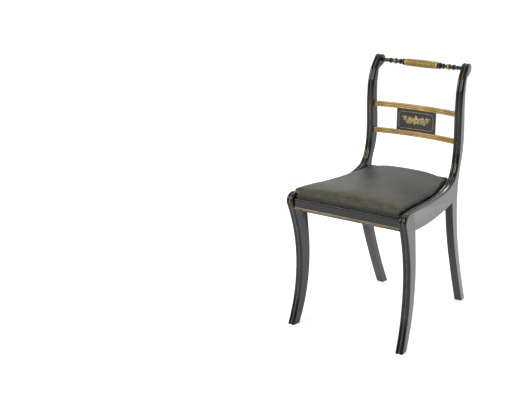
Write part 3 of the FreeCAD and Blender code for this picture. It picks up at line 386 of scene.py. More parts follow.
def piece(name, mesh, materials, body, slot, *nodes):
    """Object for a mesh that rides on a body and stands for CAD nodes."""
    made = bpy.data.objects.new(name, mesh)
    bpy.context.scene.collection.objects.link(made)
    for material in materials:
        mesh.materials.append(material)
    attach(made, body)
    if nodes:
        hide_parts(*nodes)
    return made


def paint(mesh, per_quad):
    """Material number of each quad; caps keep the first material."""
    numbers = np.zeros(len(mesh.polygons), np.int32)
    numbers[:len(per_quad)] = per_quad
    mesh.polygons.foreach_set("material_index", numbers)


def measure(mesh, name, values):
    """A number per vertex that materials can read."""
    mesh.attributes.new(name, "FLOAT", "POINT").data.foreach_set("value", np.asarray(values, np.float32))


# Materials

class Term:
    """A socket of a material's nodes. Arithmetic on terms adds Math nodes."""

    def __init__(self, tree, socket=None):
        self.tree = tree
        self.socket = socket

    def node(self, kind, output, inputs, **settings):
        """Any other node: its settings first, then the values or links of its sockets."""
        made = self.tree.nodes.new(kind)
        for name, value in settings.items():
            setattr(made, name, value)
        for name, value in inputs.items():
            if isinstance(value, Term):
                self.tree.links.new(value.socket, made.inputs[name])
            else:
                made.inputs[name].default_value = value
        return Term(self.tree, made.outputs[output])

    def math(self, operation, first, second=0.0):
        """A Math node on one or two terms or numbers."""
        return self.node("ShaderNodeMath", 0, {0: first, 1: second}, operation=operation)

    def __add__(self, other):
        return self.math("ADD", self, other)

    __radd__ = __add__

    def __sub__(self, other):
        return self.math("SUBTRACT", self, other)

    def __rsub__(self, other):
        return self.math("SUBTRACT", other, self)

    def __mul__(self, other):
        return self.math("MULTIPLY", self, other)

    __rmul__ = __mul__

    def between(self, low, high):
        """0 below low, 1 above high, smooth between."""
        return self.node("ShaderNodeMapRange", 0, {0: self, 1: low, 2: high, 3: 0.0, 4: 1.0},
                         interpolation_type="SMOOTHSTEP")

    def sine(self):
        """Sine of this term, in radians."""
        return self.math("SINE", self)

    def mixed(self, first, second):
        """Colour that goes from first to second with this term."""
        return self.node("ShaderNodeMix", 2, {0: self, 6: first, 7: second}, data_type="RGBA")


def begun(name, **constants):
    """New material with a Principled shader whose constants are set on its own sockets."""
    material = bpy.data.materials.new(name)
    material.use_nodes = True
    tree = material.node_tree
    shader = tree.nodes["Principled BSDF"]
    for socket, value in constants.items():
        shader.inputs[socket.replace("_", " ")].default_value = value
    place = Term(tree).node("ShaderNodeTexCoord", "Object", {})
    return material, shader, place


def noise(place, scale, detail=3.0, roughness=0.55, stretch=None):
    """Cloudy value from 0 to 1, with features of about one over scale metres."""
    if stretch:
        place = place.node("ShaderNodeMapping", 0, {"Vector": place, "Scale": stretch})
    return place.node("ShaderNodeTexNoise", 0,
                      {"Vector": place, "Scale": scale, "Detail": detail, "Roughness": roughness})


def link(shader, **values):
    """Joins terms to the shader's sockets of those names."""
    for socket, term in values.items():
        term.tree.links.new(term.socket, shader.inputs[socket.replace("_", " ")])


def bumped(shader, height, strength, distance):
    """Joins a height to the shader's normal through a Bump node."""
    bump = {"Height": height, "Strength": strength, "Distance": distance}
    link(shader, Normal=height.node("ShaderNodeBump", 0, bump))


def rgb(red, green, blue):
    """Linear colour from the eye's 0 to 255 values."""
    eye = np.array((red, green, blue)) / 255.0
    linear = np.where(eye <= 0.04045, eye / 12.92, ((eye + 0.055) / 1.055) ** 2.4)
    return tuple(float(value) for value in linear) + (1.0,)


def ebonised():
    """Black paint under old polish: clouded, with a faint grain, and brown where edges are rubbed."""
    material, shader, place = begun("ebonised_wood", Coat_Weight=0.6, Coat_Roughness=0.06,
                                    Specular_IOR_Level=0.25)
    clouds = noise(place, 9.0)
    grain = noise(place, 60.0, stretch=(6.0, 6.0, 0.5))
    rubbed = noise(place, 140.0, 5.0, 0.7)
    edge = place.node("ShaderNodeAttribute", "Fac", {}, attribute_name="edge")
    worn = (edge * rubbed.between(0.56, 0.7) * clouds.between(0.4, 0.65)) * 0.6
    black = clouds.between(0.3, 0.7).mixed(rgb(12, 12, 20), rgb(19, 19, 27))
    link(shader, Base_Color=worn.mixed(black, rgb(92, 66, 40)))
    link(shader, Roughness=clouds.between(0.3, 0.75) * 0.12 + worn * 0.25 + 0.16)
    bumped(shader, grain * 0.7 + rubbed * 0.3, 0.06, 0.0003)
    return material


def gilt(name, worn_low, worn_high, dark, bright=1.0):
    """Old water gilding: light and deep patches, dull where it is rubbed through, and dark in the hollows
    as painted shade.
    """
    material, shader, place = begun(name, Specular_IOR_Level=0.5)
    clouds = noise(place, 24.0, 3.0)
    specks = noise(place, 300.0, 4.0, 0.7)
    leaf = clouds.between(0.3, 0.7).mixed(rgb(166 * bright, 136 * bright, 72 * bright),
                                          rgb(196 * bright, 168 * bright, 102 * bright))
    leaf = (noise(place, 150.0).between(0.45, 0.75) * 0.35).mixed(leaf, rgb(120 * bright, 100 * bright, 58))
    hollow_shade = place.node("ShaderNodeAttribute", "Fac", {}, attribute_name="hollow_shade")
    rubbed = (specks * 0.6 + noise(place, 55.0) * 0.4).between(worn_low, worn_high)
    # The dark colour goes where the gilding is rubbed through, which is wear, and into the hollows, which
    # is painted shade
    rubbed_and_shaded = rubbed.math("MAXIMUM", rubbed, hollow_shade)
    link(shader, Base_Color=rubbed_and_shaded.mixed(leaf, rgb(*dark)))
    link(shader, Metallic=(1.0 - rubbed_and_shaded) * 0.5)
    link(shader, Roughness=clouds * 0.15 + rubbed_and_shaded * 0.25 + 0.32)
    bumped(shader, specks, 0.15, 0.0002)
    return material


def gold_paint():
    """Gold size painted by brush: light and dark strokes, dry and broken in places."""
    material, shader, place = begun("gold_paint", Metallic=0.2, Specular_IOR_Level=0.4)
    stroke = place.node("ShaderNodeAttribute", "Fac", {}, attribute_name="stroke")
    dry = noise(place, 420.0, 3.0, 0.6).between(0.5, 0.72)
    gold = stroke.mixed(rgb(134, 108, 60), rgb(228, 200, 130))
    link(shader, Base_Color=(dry * 0.55).mixed(gold, rgb(58, 48, 34)))
    link(shader, Roughness=dry * 0.2 + 0.38)
    bumped(shader, dry, 0.2, 0.0002)
    return material


def horsehair():
    """Dark woven horsehair over a firm pad: fine ribs, threadbare and yellowed along the front."""
    material, shader, place = begun("horsehair_cloth", Sheen_Weight=0.06, Sheen_Roughness=0.4,
                                    Specular_IOR_Level=0.22)
    parts = {axis: place.node("ShaderNodeSeparateXYZ", axis, {"Vector": place}) for axis in "XYZ"}
    weft = ((parts["Y"] + parts["Z"]) * (2.0 * math.pi / 0.0011)).sine()
    warp = (parts["X"] * (2.0 * math.pi / 0.0009)).sine()
    clouds = noise(place, 12.0, 4.0)
    streaks = noise(place, 25.0, 3.0, stretch=(1.0, 14.0, 14.0))
    base = clouds.between(0.3, 0.7).mixed(rgb(54, 53, 49), rgb(66, 65, 59))
    base = (streaks.between(0.45, 0.75) * 0.35).mixed(base, rgb(82, 80, 68))
    front = place.node("ShaderNodeAttribute", "Fac", {}, attribute_name="front_edge")
    frayed = front * noise(place, 45.0, 6.0, 0.75).between(0.3, 0.7)
    threads = front * noise(place, 260.0, 3.0, 0.7, stretch=(0.4, 1.0, 1.0)).between(0.62, 0.76)
    cloth = (frayed * 0.85).mixed(base, rgb(98, 94, 68))
    link(shader, Base_Color=threads.mixed(cloth, rgb(168, 162, 138)))
    link(shader, Roughness=0.62 - streaks * 0.16 + frayed * 0.15)
    bumped(shader, weft * 0.35 + warp * 0.2 + frayed * 0.6, 0.3, 0.0004)
    return material


def bare_wood():
    """Beech: pale, with short dark rays along the grain."""
    material, shader, place = begun("beech", Specular_IOR_Level=0.35)
    grain = noise(place, 24.0, 5.0, 0.6, stretch=(0.6, 8.0, 8.0))
    rays = noise(place, 260.0, 2.0, 0.5, stretch=(0.25, 1.0, 1.0))
    wood = grain.between(0.3, 0.7).mixed(rgb(176, 136, 92), rgb(150, 110, 70))
    link(shader, Base_Color=(rays.between(0.6, 0.7) * 0.5).mixed(wood, rgb(112, 78, 48)))
    link(shader, Roughness=grain * 0.15 + 0.55)
    bumped(shader, grain, 0.2, 0.0004)
    return material


def steel(name, colour, rust):
    """Old steel with a brown bloom."""
    material, shader, place = begun(name)
    clouds = noise(place, 300.0, 4.0)
    bloom = clouds.between(0.5, 0.7)
    link(shader, Base_Color=bloom.mixed(rgb(*colour), rgb(*rust)))
    link(shader, Metallic=1.0 - bloom * 0.7)
    link(shader, Roughness=bloom * 0.35 + 0.35)
    bumped(shader, clouds, 0.2, 0.0002)
    return material


def weave(name, light, dark, warp_pitch, weft_pitch, ribs=0.5):
    """Plain cloth: two crossed sets of threads, a warp thread over and under the weft."""
    material, shader, place = begun(name, Specular_IOR_Level=0.2, Sheen_Weight=0.15)
    x = place.node("ShaderNodeSeparateXYZ", "X", {"Vector": place})
    y = place.node("ShaderNodeSeparateXYZ", "Y", {"Vector": place})
    warp = (x * (2.0 * math.pi / warp_pitch)).sine()
    weft = (y * (2.0 * math.pi / weft_pitch)).sine()
    threads = warp * weft * 0.5 + 0.5
    clouds = noise(place, 20.0, 4.0)
    mixed = (threads * 0.45 + clouds * 0.55).between(0.2, 0.8)
    link(shader, Base_Color=mixed.mixed(rgb(*dark), rgb(*light)))
    link(shader, Roughness=clouds * 0.1 + 0.8)
    bumped(shader, threads * ribs + warp * 0.2, 0.4, 0.0006)
    return material


# Side frames

def moulded_path():
    """Front foot, sabre leg, shoulder, swept seat, stile and roll: arcs tangent to each other."""
    leg_reach = math.sqrt(LEG_FRONT_R ** 2 - LEG_BEND_Z ** 2)
    shoulder_s = math.sqrt((LEG_FRONT_R + SHOULDER_R) ** 2 - (SHOULDER_Z - LEG_BEND_Z) ** 2) - leg_reach
    foot = math.atan2(-LEG_BEND_Z, leg_reach)
    touch = math.atan2(SHOULDER_Z - LEG_BEND_Z, shoulder_s + leg_reach)
    leg = ((-leg_reach, LEG_BEND_Z), LEG_FRONT_R, foot, touch - foot)
    shoulder = ((shoulder_s, SHOULDER_Z), SHOULDER_R, touch + math.pi, -(touch + math.pi / 2.0))
    start = math.radians(ROLL_START)
    roll_start = (ROLL_CENTRE[0] + ROLL_R * math.cos(start), ROLL_CENTRE[1] + ROLL_R * math.sin(start),
                  ROLL_START - 90.0)
    roll = (ROLL_CENTRE, ROLL_R, start, math.radians(ROLL_END - ROLL_START))
    stations = ((shoulder_s, SHOULDER_Z + SHOULDER_R, 0.0),) + SWEEP + (roll_start,)
    return [leg, shoulder] + smooth_path(stations) + [roll]


def mirrored_profile(half_t, half_d):
    """Whole profile across a board from the half that starts at its middle."""
    t = np.concatenate([-half_t[:0:-1], half_t])
    return t, np.concatenate([half_d[:0:-1], half_d])


def reeded_profile():
    """Two quarter-ellipse reeds with a sunk fillet between them: (across, depth)."""
    rise = np.linspace(0.0, math.pi / 2.0, 8)
    fall = np.linspace(0.0, math.pi / 2.0, 10)[1:]
    inner = FILLET_WIDTH / 2.0
    t = np.concatenate([[0.0], REED_CREST - (REED_CREST - inner) * np.cos(rise),
                        REED_CREST + (HALF_BOARD - REED_CREST) * np.sin(fall), [HALF_BOARD]])
    d = np.concatenate([[FILLET_DEPTH], FILLET_DEPTH * (1.0 - np.sin(rise)),
                        REED_EDGE * (1.0 - np.cos(fall)), [REED_EDGE + REED_FLAT]])
    return mirrored_profile(t, d)


def plain_profile(count):
    """Flat across the board, with a small rounding at each edge: (across, depth)."""
    fall = np.linspace(0.0, math.pi / 2.0, 7)[1:]
    flat = np.linspace(0.0, HALF_BOARD - ARRIS, (count + 1) // 2 - 7)
    t = np.concatenate([flat, HALF_BOARD - ARRIS + ARRIS * np.sin(fall), [HALF_BOARD]])
    d = np.concatenate([0.0 * flat, ARRIS * (1.0 - np.cos(fall)), [2.0 * ARRIS]])
    return mirrored_profile(t, d)


def board_piece(name, runs, side, node):
    """Rim and two flat sides: each row is outline point plus profile depth along the inward vector."""
    reeded = reeded_profile()
    plain = plain_profile(len(reeded[0]))
    rows, gilded, edges = [], [], []
    for (points, inward), moulded in runs:
        t, d = reeded if moulded else plain
        place = points[:, None, :] + d[None, :, None] * inward[:, None, :]
        rows.append(np.concatenate([np.broadcast_to(t[None, :, None], place.shape[:2] + (1,)), place], 2))
        gilded += [moulded] * len(points)
        worn = np.abs(t) > HALF_BOARD - (WORN_REED if moulded else WORN_EDGE)
        edges.append(np.broadcast_to(worn[None, :], place.shape[:2]))
    rows = np.concatenate(rows)
    count, across = rows.shape[:2]
    quads = grid_quads(count, across, rows_closed=True)
    ring = np.arange(count) * across
    points = on_board(rows, side)
    mesh = made_mesh(name, points, quads, caps=(ring[::-1], ring + across - 1))
    gilded = np.array(gilded)
    strip = np.zeros((count, across - 1), bool)
    strip[gilded & np.roll(gilded, -1), across // 2 - 1:across // 2 + 1] = True
    paint(mesh, strip.reshape(-1))
    measure(mesh, "edge", np.concatenate(edges).astype(float).reshape(-1))
    return piece(name, mesh, (BLACK, GILT_LINE), "frame", "ebonised_wood", node)


def side_frames():
    """Leg, rail and post of both side frames, parted at the slanted and the upright joint."""
    corner_front, corner_rear = FRONT_LEG_BACK[0][:2], REAR_LEG_FRONT[-1][:2]
    joint_in = np.array(corner_front) - LEG_JOINT_TOP
    moulded = sampled(moulded_path())
    leg_face, rest = cut(moulded, corner_front, joint_in)
    rail_face, post_face = cut(rest, corner_rear, (0.0, -1.0))
    leg_face = ended(leg_face, 0, (1.0, 0.0))
    leg_back = sampled(smooth_path(FRONT_LEG_BACK))
    leg_back = ended(ended(leg_back, 0, -joint_in), -1, (-1.0, 0.0))
    belly = sampled([arc_through(corner_rear, RAIL_BELLY, corner_front)])
    belly = ended(ended(belly, 0, (0.0, 1.0)), -1, -joint_in)
    under_roll = (ROLL_CENTRE[0], ROLL_CENTRE[1] - ROLL_R, UNDERCUT)
    rear = ended(sampled(smooth_path((under_roll,) + REAR)), -1, (-1.0, 0.0))
    leg_front = sampled(smooth_path(REAR_LEG_FRONT))
    leg_front = ended(ended(leg_front, 0, (1.0, 0.0)), -1, (0.0, 1.0))
    for side, word in ((1.0, "right"), (-1.0, "left")):
        board_piece(word + "_front_leg_wood", ((leg_face, True), (leg_back, False)), side,
                    word + "_front_leg")
        board_piece(word + "_side_rail_wood", ((rail_face, True), (belly, False)), side,
                    word + "_side_rail")
        board_piece(word + "_back_post_wood", ((post_face, True), (rear, False), (leg_front, False)),
                    side, word + "_back_post")


# Rails across the chair

def rail_between(name, section, gilded, node):
    """Section in (y, z) run across the chair, each point ending on the boards' inner faces."""
    loop = np.asarray(section, float)
    shares = np.linspace(-1.0, 1.0, RAIL_STATIONS)
    x = shares[:, None] * inner_x(loop[:, 0])[None, :]
    points = np.stack([x, np.broadcast_to(loop[:, 0], x.shape), np.broadcast_to(loop[:, 1], x.shape)], -1)
    mesh = closed_rings(name, points)
    paint(mesh, np.tile(gilded, RAIL_STATIONS - 1))
    front = loop[:, 0] < loop[:, 0].min() + WORN_FRONT
    measure(mesh, "edge", np.tile(front * 0.6, RAIL_STATIONS))
    return piece(name, mesh, (BLACK, GILT_STRIPE), "frame", "ebonised_wood", node)


def front_rail():
    """Flat face over a sunk gilt fillet and a bead, with a lip in front of the seat's rebate."""
    front, back = FRONT_RAIL_Y, FRONT_RAIL_Y + FRONT_RAIL_THICK
    bead_y, bead_z = front - BEAD_PROUD + BEAD_R, FRONT_RAIL_BOTTOM + BEAD_R
    sunk = front + GILT_SUNK
    bead_top = bead_z + math.sqrt(BEAD_R ** 2 - (bead_y - sunk) ** 2)
    turn = np.linspace(math.atan2(bead_top - bead_z, sunk - bead_y) % (2 * math.pi), 1.5 * math.pi, 14)
    bead = np.stack([bead_y + BEAD_R * np.cos(turn), bead_z + BEAD_R * np.sin(turn)], 1)
    strip_top = bead_top + GILT_STRIP
    corners = [bead[-1], (back, FRONT_RAIL_BOTTOM), (back, FRONT_LEDGE), (front + LIP, FRONT_LEDGE),
               (front + LIP, FRONT_LEDGE + LIP_HEIGHT), (front, FRONT_LEDGE + LIP_HEIGHT),
               (front, strip_top), (sunk, strip_top), bead[0]]
    radii = (ARRIS, ARRIS, REBATE_CORNER, ARRIS, ARRIS, STRIP_CORNER, STRIP_FOOT)
    loop = np.vstack([bead, rounded(corners, radii)])
    gilded = np.zeros(len(loop), bool)
    gilded[-2:] = True
    rail_between("front_rail_wood", loop, gilded, "front_rail")


def seat_underside():
    """Line of the seat's swept underside as (y, z): two arcs down to the dip and one up after it."""
    front_z = FRONT_LEDGE + SEAT_LIFT
    dip = (SEAT_DIP_Y, front_z - SEAT_SAG)
    end = (SEAT_BACK_Y, front_z + SEAT_BACK_RISE)
    front = biarc((SEAT_FRONT_Y, front_z, 0.0), dip + (0.0,))
    rear = tangent_arc(dip, (1.0, 0.0), end)
    line = sampled(front + [rear], step=2.0)[0]
    before = line[:1] - ((SEAT_RUN_ON, 0.0),)
    slope = (line[-1] - line[-2]) / (line[-1] - line[-2])[0]
    return np.vstack([before, line, line[-1:] + SEAT_RUN_ON * slope])


UNDERSIDE = seat_underside()


def seat_z(y):
    """Height of the seat's underside at y."""
    return np.interp(y, UNDERSIDE[:, 0], UNDERSIDE[:, 1])


def back_rail():
    """Rail under the back of the seat, with its rebate and the low lip behind the seat."""
    front, back = BACK_RAIL_Y, BACK_RAIL_Y + BACK_RAIL_THICK
    lip = SEAT_BACK_Y + SEAT_END_GAP
    ledge = [(y, float(seat_z(y)) - SEAT_LIFT) for y in (lip, front)]
    top = [(y, float(seat_z(y)) - SEAT_LIFT + LIP_HEIGHT) for y in (back, lip)]
    corners = [(front, BACK_RAIL_BOTTOM), (back, BACK_RAIL_BOTTOM)] + top + ledge
    loop = rounded(corners, (ARRIS, ARRIS, ARRIS, ARRIS, REBATE_CORNER, ARRIS), closed=True)
    rail_between("back_rail_wood", loop, np.zeros(len(loop), bool), "back_rail")


def turned(name, x, radius, theta):
    """Surface of revolution about the crest's axis, less the grooves of the spiral middle."""
    reach = radius[:, None] - strands(x[:, None], theta[None, :])
    points = np.stack([np.broadcast_to(x[:, None], reach.shape), CREST_Y + reach * np.cos(theta),
                       ROLL_CENTRE[1] + reach * np.sin(theta)], -1)
    return closed_rings(name, points)


def strands(x, theta):
    """Depth of the spiral's grooves: one less the size of the sine of a strand's phase, to a power."""
    phase = ROPE_STRANDS * (theta + 2.0 * math.pi * x / ROPE_LEAD) / 2.0
    fade = np.clip((ROPE_HALF - ROPE_PLAIN - np.abs(x)) / ROPE_FADE, 0.0, 1.0)
    return ROPE_CUT * fade * (1.0 - np.abs(np.sin(phase))) ** 1.4


def crest_rail():
    """Turned rail: the largest of the neck, the spiral middle and the beads at each place."""
    half = inner_x(CREST_Y) + CREST_TENON
    x = np.linspace(-half, half, CREST_STATIONS)
    radius = np.full(x.shape, CREST_NECK_R)
    turnings = [(0.0, ROPE_HALF, ROPE_R, ROPE_END_R)]
    turnings += [(side * at, reach, high, CREST_NECK_R) for at, reach, high in CREST_BEADS
                 for side in (1.0, -1.0)]
    for at, reach, high, low in turnings:
        bend = (reach ** 2 + (high - low) ** 2) / (2.0 * (high - low))
        off = np.abs(x - at)
        lens = np.sqrt(np.maximum(bend ** 2 - off ** 2, 0.0)) - bend + high
        radius = np.where(off <= reach, np.maximum(radius, lens), radius)
    theta = np.linspace(0.0, 2.0 * math.pi, CREST_ROUND, endpoint=False)
    mesh = turned("crest_rail_turned", x, radius, theta)
    middle = (x[1:] + x[:-1]) / 2.0
    gilded = (np.abs(middle) < ROPE_HALF) | (np.abs(np.abs(middle) - GILT_RING) < GILT_RING_HALF)
    paint(mesh, np.repeat(gilded, CREST_ROUND))
    measure(mesh, "edge", np.repeat(radius > WORN_CREST_R, CREST_ROUND) * 0.5)
    # The grooves of the spiral are darkened by their depth: painted shade in the rope's hollows
    depth = strands(x[:, None], theta[None, :]) / ROPE_CUT
    measure(mesh, "hollow_shade", np.clip(depth * 1.6, 0.0, 1.0).ravel())
    piece("crest_rail_turned", mesh, (BLACK, GILT_ROPE), "frame", "ebonised_wood", "crest_rail")


def bow():
    """Radius of the bowed fronts, and the y of its upright axis: a chord's half and its height."""
    half = inner_x(CROSS_FRONT_Y)
    radius = (half ** 2 + CROSS_BOW ** 2) / (2.0 * CROSS_BOW)
    return radius, CROSS_FRONT_Y + CROSS_BOW - radius


def bowed(name, loop, half_angle):
    """Section (distance from the bow's axis, z) turned about that axis from side to side."""
    axis_y = bow()[1]
    angle = np.linspace(-1.0, 1.0, CROSS_STATIONS)[:, None] * half_angle[None, :]
    points = np.stack([loop[:, 0] * np.sin(angle), axis_y + loop[:, 0] * np.cos(angle),
                       np.broadcast_to(loop[:, 1], angle.shape)], -1)
    return closed_rings(name, points)


def cross_rail(name, middle_z, node):
    """Three reeds along the front of a flat-backed rail; each line of it ends on the boards."""
    radius, axis_y = bow()
    pitch = CROSS_HEIGHT / CROSS_REEDS
    low = middle_z - CROSS_HEIGHT / 2.0
    reach = math.asin(pitch / 2.0 / CROSS_REED_R)
    turn = np.linspace(-reach, reach, 11)
    reed = np.stack([radius + CROSS_REED_R * (1.0 - np.cos(turn)), CROSS_REED_R * np.sin(turn)], 1)
    front = np.concatenate([reed + (0.0, low + pitch * (k + 0.5)) for k in range(CROSS_REEDS)])
    back = radius + CROSS_DEPTH
    corners = [front[-1], (back, low + CROSS_HEIGHT), (back, low), front[0]]
    loop = np.vstack([front, rounded(corners, (ARRIS, ARRIS))])
    angle = np.full(len(loop), inner_x(CROSS_FRONT_Y) / radius)
    for _ in range(CROSS_ROUNDS):
        reach_x = inner_x(axis_y + loop[:, 0] * np.cos(angle))
        angle = np.arcsin(reach_x / loop[:, 0])
    mesh = bowed(name, loop, angle)
    # The valleys between the reeds are marked to be darkened: painted shade
    valley_shade = np.tile((np.abs(turn) / reach) ** 3, CROSS_REEDS)
    valley_shade = np.concatenate([valley_shade, np.zeros(len(loop) - len(front))])
    measure(mesh, "hollow_shade", np.tile(valley_shade * 0.75, CROSS_STATIONS))
    piece(name, mesh, (GILT_REED,), "frame", "gilt_wood", node)


def tablet():
    """Thin black panel bowed with the rails: two arcs whose ends are rounded by quarter ellipses."""
    radius, axis_y = bow()
    face = radius + TABLET_SETBACK
    low, high = LOWER_CROSS_Z + CROSS_HEIGHT / 2.0, UPPER_CROSS_Z - CROSS_HEIGHT / 2.0
    rim = np.concatenate([np.linspace(-1.0, -TABLET_RIM, 4), np.linspace(-TABLET_PLAIN, TABLET_PLAIN, 41),
                          np.linspace(TABLET_RIM, 1.0, 4)])
    past = np.clip((np.abs(rim) - TABLET_RIM) / (1.0 - TABLET_RIM), 0.0, 1.0)
    inset = ARRIS * (1.0 - np.sqrt(1.0 - past ** 2))
    angle = rim * TABLET_WIDTH / 2.0 / face
    front, back = (np.stack([reach * np.sin(angle), axis_y + reach * np.cos(angle)], 1)
                   for reach in (face + inset, face + TABLET_THICK - inset))
    ring = np.vstack([front, back[::-1]])
    z = np.linspace(low, high, TABLET_ROWS)
    points = np.stack([np.broadcast_to(ring[:, 0], (TABLET_ROWS, len(ring))),
                       np.broadcast_to(ring[:, 1], (TABLET_ROWS, len(ring))),
                       np.broadcast_to(z[:, None], (TABLET_ROWS, len(ring)))], -1)
    mesh = closed_rings("tablet_panel_wood", points)
    piece("tablet_panel_wood", mesh, (BLACK,), "frame", "ebonised_wood", "tablet_panel")


def laid_on_tablet(name, loops, strokes):
    """Closed shapes lying on the tablet's bowed face: each is a rim just in it and a rim just above it.

    A loop is a ring of (across, up) from the tablet's middle. Rims are drawn a little narrower on top.
    """
    radius, axis_y = bow()
    face = radius + TABLET_SETBACK
    points, quads, caps, tones = [], [], [], []
    for loop, stroke in zip(loops, strokes):
        count = len(loop)
        rims = []
        for depth, scale in ((PAINT_SUNK, 1.0), (-PAINT_PROUD, PAINT_TOP)):
            across, up = (loop.mean(0) + (loop - loop.mean(0)) * scale).T
            reach = face + depth
            rims.append(np.stack([reach * np.sin(across / face), axis_y + reach * np.cos(across / face),
                                  (UPPER_CROSS_Z + LOWER_CROSS_Z) / 2.0 + up], 1))
        first = sum(len(part) for part in points)
        quads.append(grid_quads(2, count, columns_closed=True) + first)
        caps += [first + np.arange(count)[::-1], first + count + np.arange(count)]
        points += rims
        tones += [stroke] * (2 * count)
    mesh = made_mesh(name, np.concatenate(points), np.concatenate(quads), caps=caps)
    measure(mesh, "stroke", tones)
    return piece(name, mesh, (GOLD_PAINT,), "frame", "gilt_wood")


def leaf_loop(at, angle, length, width):
    """Leaf or petal from its stem's end: half as wide as a power of a sine along its length."""
    share = np.linspace(0.0, 1.0, 9)
    half = width / 2.0 * np.sin(math.pi * share ** 0.8) ** 0.8
    upper = np.stack([share * length, half], 1)
    lower = np.stack([share * length, -half], 1)[-2:0:-1]
    turn = np.array(((math.cos(angle), math.sin(angle)), (-math.sin(angle), math.cos(angle))))
    return np.concatenate([upper, lower]) @ turn + np.array(at)


def flower(at, petal, start):
    """Five petals round a middle, and five short ones between them."""
    loops, strokes = [], []
    for index in range(5):
        angle = start + index * 2.0 * math.pi / 5.0
        between = angle + math.pi / 5.0
        out, aside = (np.array((math.cos(way), math.sin(way))) for way in (angle, between))
        loops.append(leaf_loop(at + out * petal * 0.25, angle, petal, petal * 0.72))
        strokes.append(0.55 + 0.2 * math.cos(angle - 2.0))
        loops.append(leaf_loop(at + aside * petal * 0.15, between, petal * 0.55, petal * 0.42))
        strokes.append(0.95)
    return loops, strokes


def painted_spray():
    """Common spray of a large and four small flowers, with leaves along two bending stems.

    A stem dips with half a sine and rises with the square of the way to its tip.
    """
    loops, strokes = [], []
    flowers = [((0.0, 1.0), 14.0, 0.4), ((23.0, 5.0), 8.6, 0.1), ((-22.0, 3.0), 8.6, 0.9),
               ((39.0, 9.5), 5.6, 0.5), ((-40.0, 8.0), 6.0, 0.2)]
    for side in (1.0, -1.0):
        for step in range(7):
            share = step / 6.0
            at = np.array((side * (8.0 + 38.0 * share),
                           1.0 - 9.0 * math.sin(math.pi * share) + 9.0 * share ** 2))
            slope = side * (0.35 * (share - 0.3))
            along = slope if side > 0.0 else math.pi + slope
            for lean in (0.75, -0.75):
                loops.append(leaf_loop(at, along + lean, 12.5 - 4.5 * share, 4.8))
                strokes.append(0.25 + 0.35 * (step % 2) + 0.1 * lean)
            loops.append(leaf_loop(at, along, 8.0, 1.1))
            strokes.append(0.4)
    for at, petal, start in flowers:
        shapes, tones = flower(np.array(at), petal, start)
        loops += shapes
        strokes += tones
    laid_on_tablet("tablet_painted_spray", loops, strokes)


def tablet_border():
    """Thin gilt line round the tablet whose corners bend inwards, in four short runs and four arcs."""
    half_width = TABLET_WIDTH / 2.0 - BORDER_INSET
    half_height = (UPPER_CROSS_Z - LOWER_CROSS_Z - CROSS_HEIGHT) / 2.0 - BORDER_INSET
    line = []
    for across, up, start in ((1, -1, 180.0), (1, 1, 270.0), (-1, 1, 0.0), (-1, -1, 90.0)):
        turn = np.radians(np.linspace(start, start - 90.0, 9))
        line.append(np.stack([across * half_width + BORDER_CORNER * np.cos(turn),
                              up * half_height + BORDER_CORNER * np.sin(turn)], 1))
    line = np.concatenate(line)
    line = np.vstack([line, line[:1]])
    loops = []
    for a, b in zip(line, line[1:]):
        way = (b - a) / np.linalg.norm(b - a)
        aside = np.array((-way[1], way[0])) * BORDER_WIDTH / 2.0
        steps = max(2, int(np.linalg.norm(b - a) / BORDER_STEP))
        rungs = a + (b - a) * np.linspace(0.0, 1.0, steps)[:, None]
        loops.append(np.vstack([rungs - aside, rungs[::-1] + aside]))
    laid_on_tablet("tablet_gilt_border", loops, [0.7] * len(loops))


# Drop-in seat

def pad_wall(y):
    """Half width of the pad below its fold."""
    return inner_x(y) - SEAT_GAP - PAD_SWELL


def plan_ring(count=400):
    """Rounded outline of the pad at its fold, evenly spaced by length, and its outward directions."""
    walls = [pad_wall(y) for y in (SEAT_FRONT_Y, SEAT_BACK_Y)]
    corners = [(0.0, SEAT_FRONT_Y), (walls[0], SEAT_FRONT_Y), (walls[1], SEAT_BACK_Y),
               (-walls[1], SEAT_BACK_Y), (-walls[0], SEAT_FRONT_Y)]
    radii = (0.0, PAD_CORNER, PAD_CORNER, PAD_CORNER, PAD_CORNER)
    loop = rounded(corners, radii, steps=9, closed=True)[8:]
    loop = np.vstack([loop, loop[:1]])
    length = np.concatenate([[0.0], np.cumsum(np.linalg.norm(np.diff(loop, axis=0), axis=1))])
    at = np.linspace(0.0, length[-1], count, endpoint=False)
    outline = np.stack([np.interp(at, length, loop[:, axis]) for axis in (0, 1)], 1)
    along = np.roll(outline, -1, axis=0) - np.roll(outline, 1, axis=0)
    along /= np.linalg.norm(along, axis=1, keepdims=True)
    return outline, np.stack([along[:, 1], -along[:, 0]], 1)


def pad_edge(y):
    """Height of the pad's edge over the underside: it drops with the square of the way to the back."""
    return PAD_EDGE - PAD_EDGE_DROP * ((y - SEAT_FRONT_Y) / (SEAT_BACK_Y - SEAT_FRONT_Y)) ** 2


def pad_spread(y):
    """How far the sides swell: over the reeds at the front, and less and less towards the posts."""
    share = np.clip((PAD_OVERLAP_END - y) / PAD_OVERLAP_RUN, 0.0, 1.0)
    return PAD_SWELL + PAD_OVERLAP * share ** 2 * (3.0 - 2.0 * share)


def side_fold(y):
    """Height of the fold along the sides: over the reeds at the front, down as at the back behind them."""
    share = np.clip((PAD_OVERLAP_END + PAD_FOLD_RUN / 2.0 - y) / PAD_FOLD_RUN, 0.0, 1.0)
    return PAD_FOLD + (PAD_SIDE_FOLD - PAD_FOLD) * share


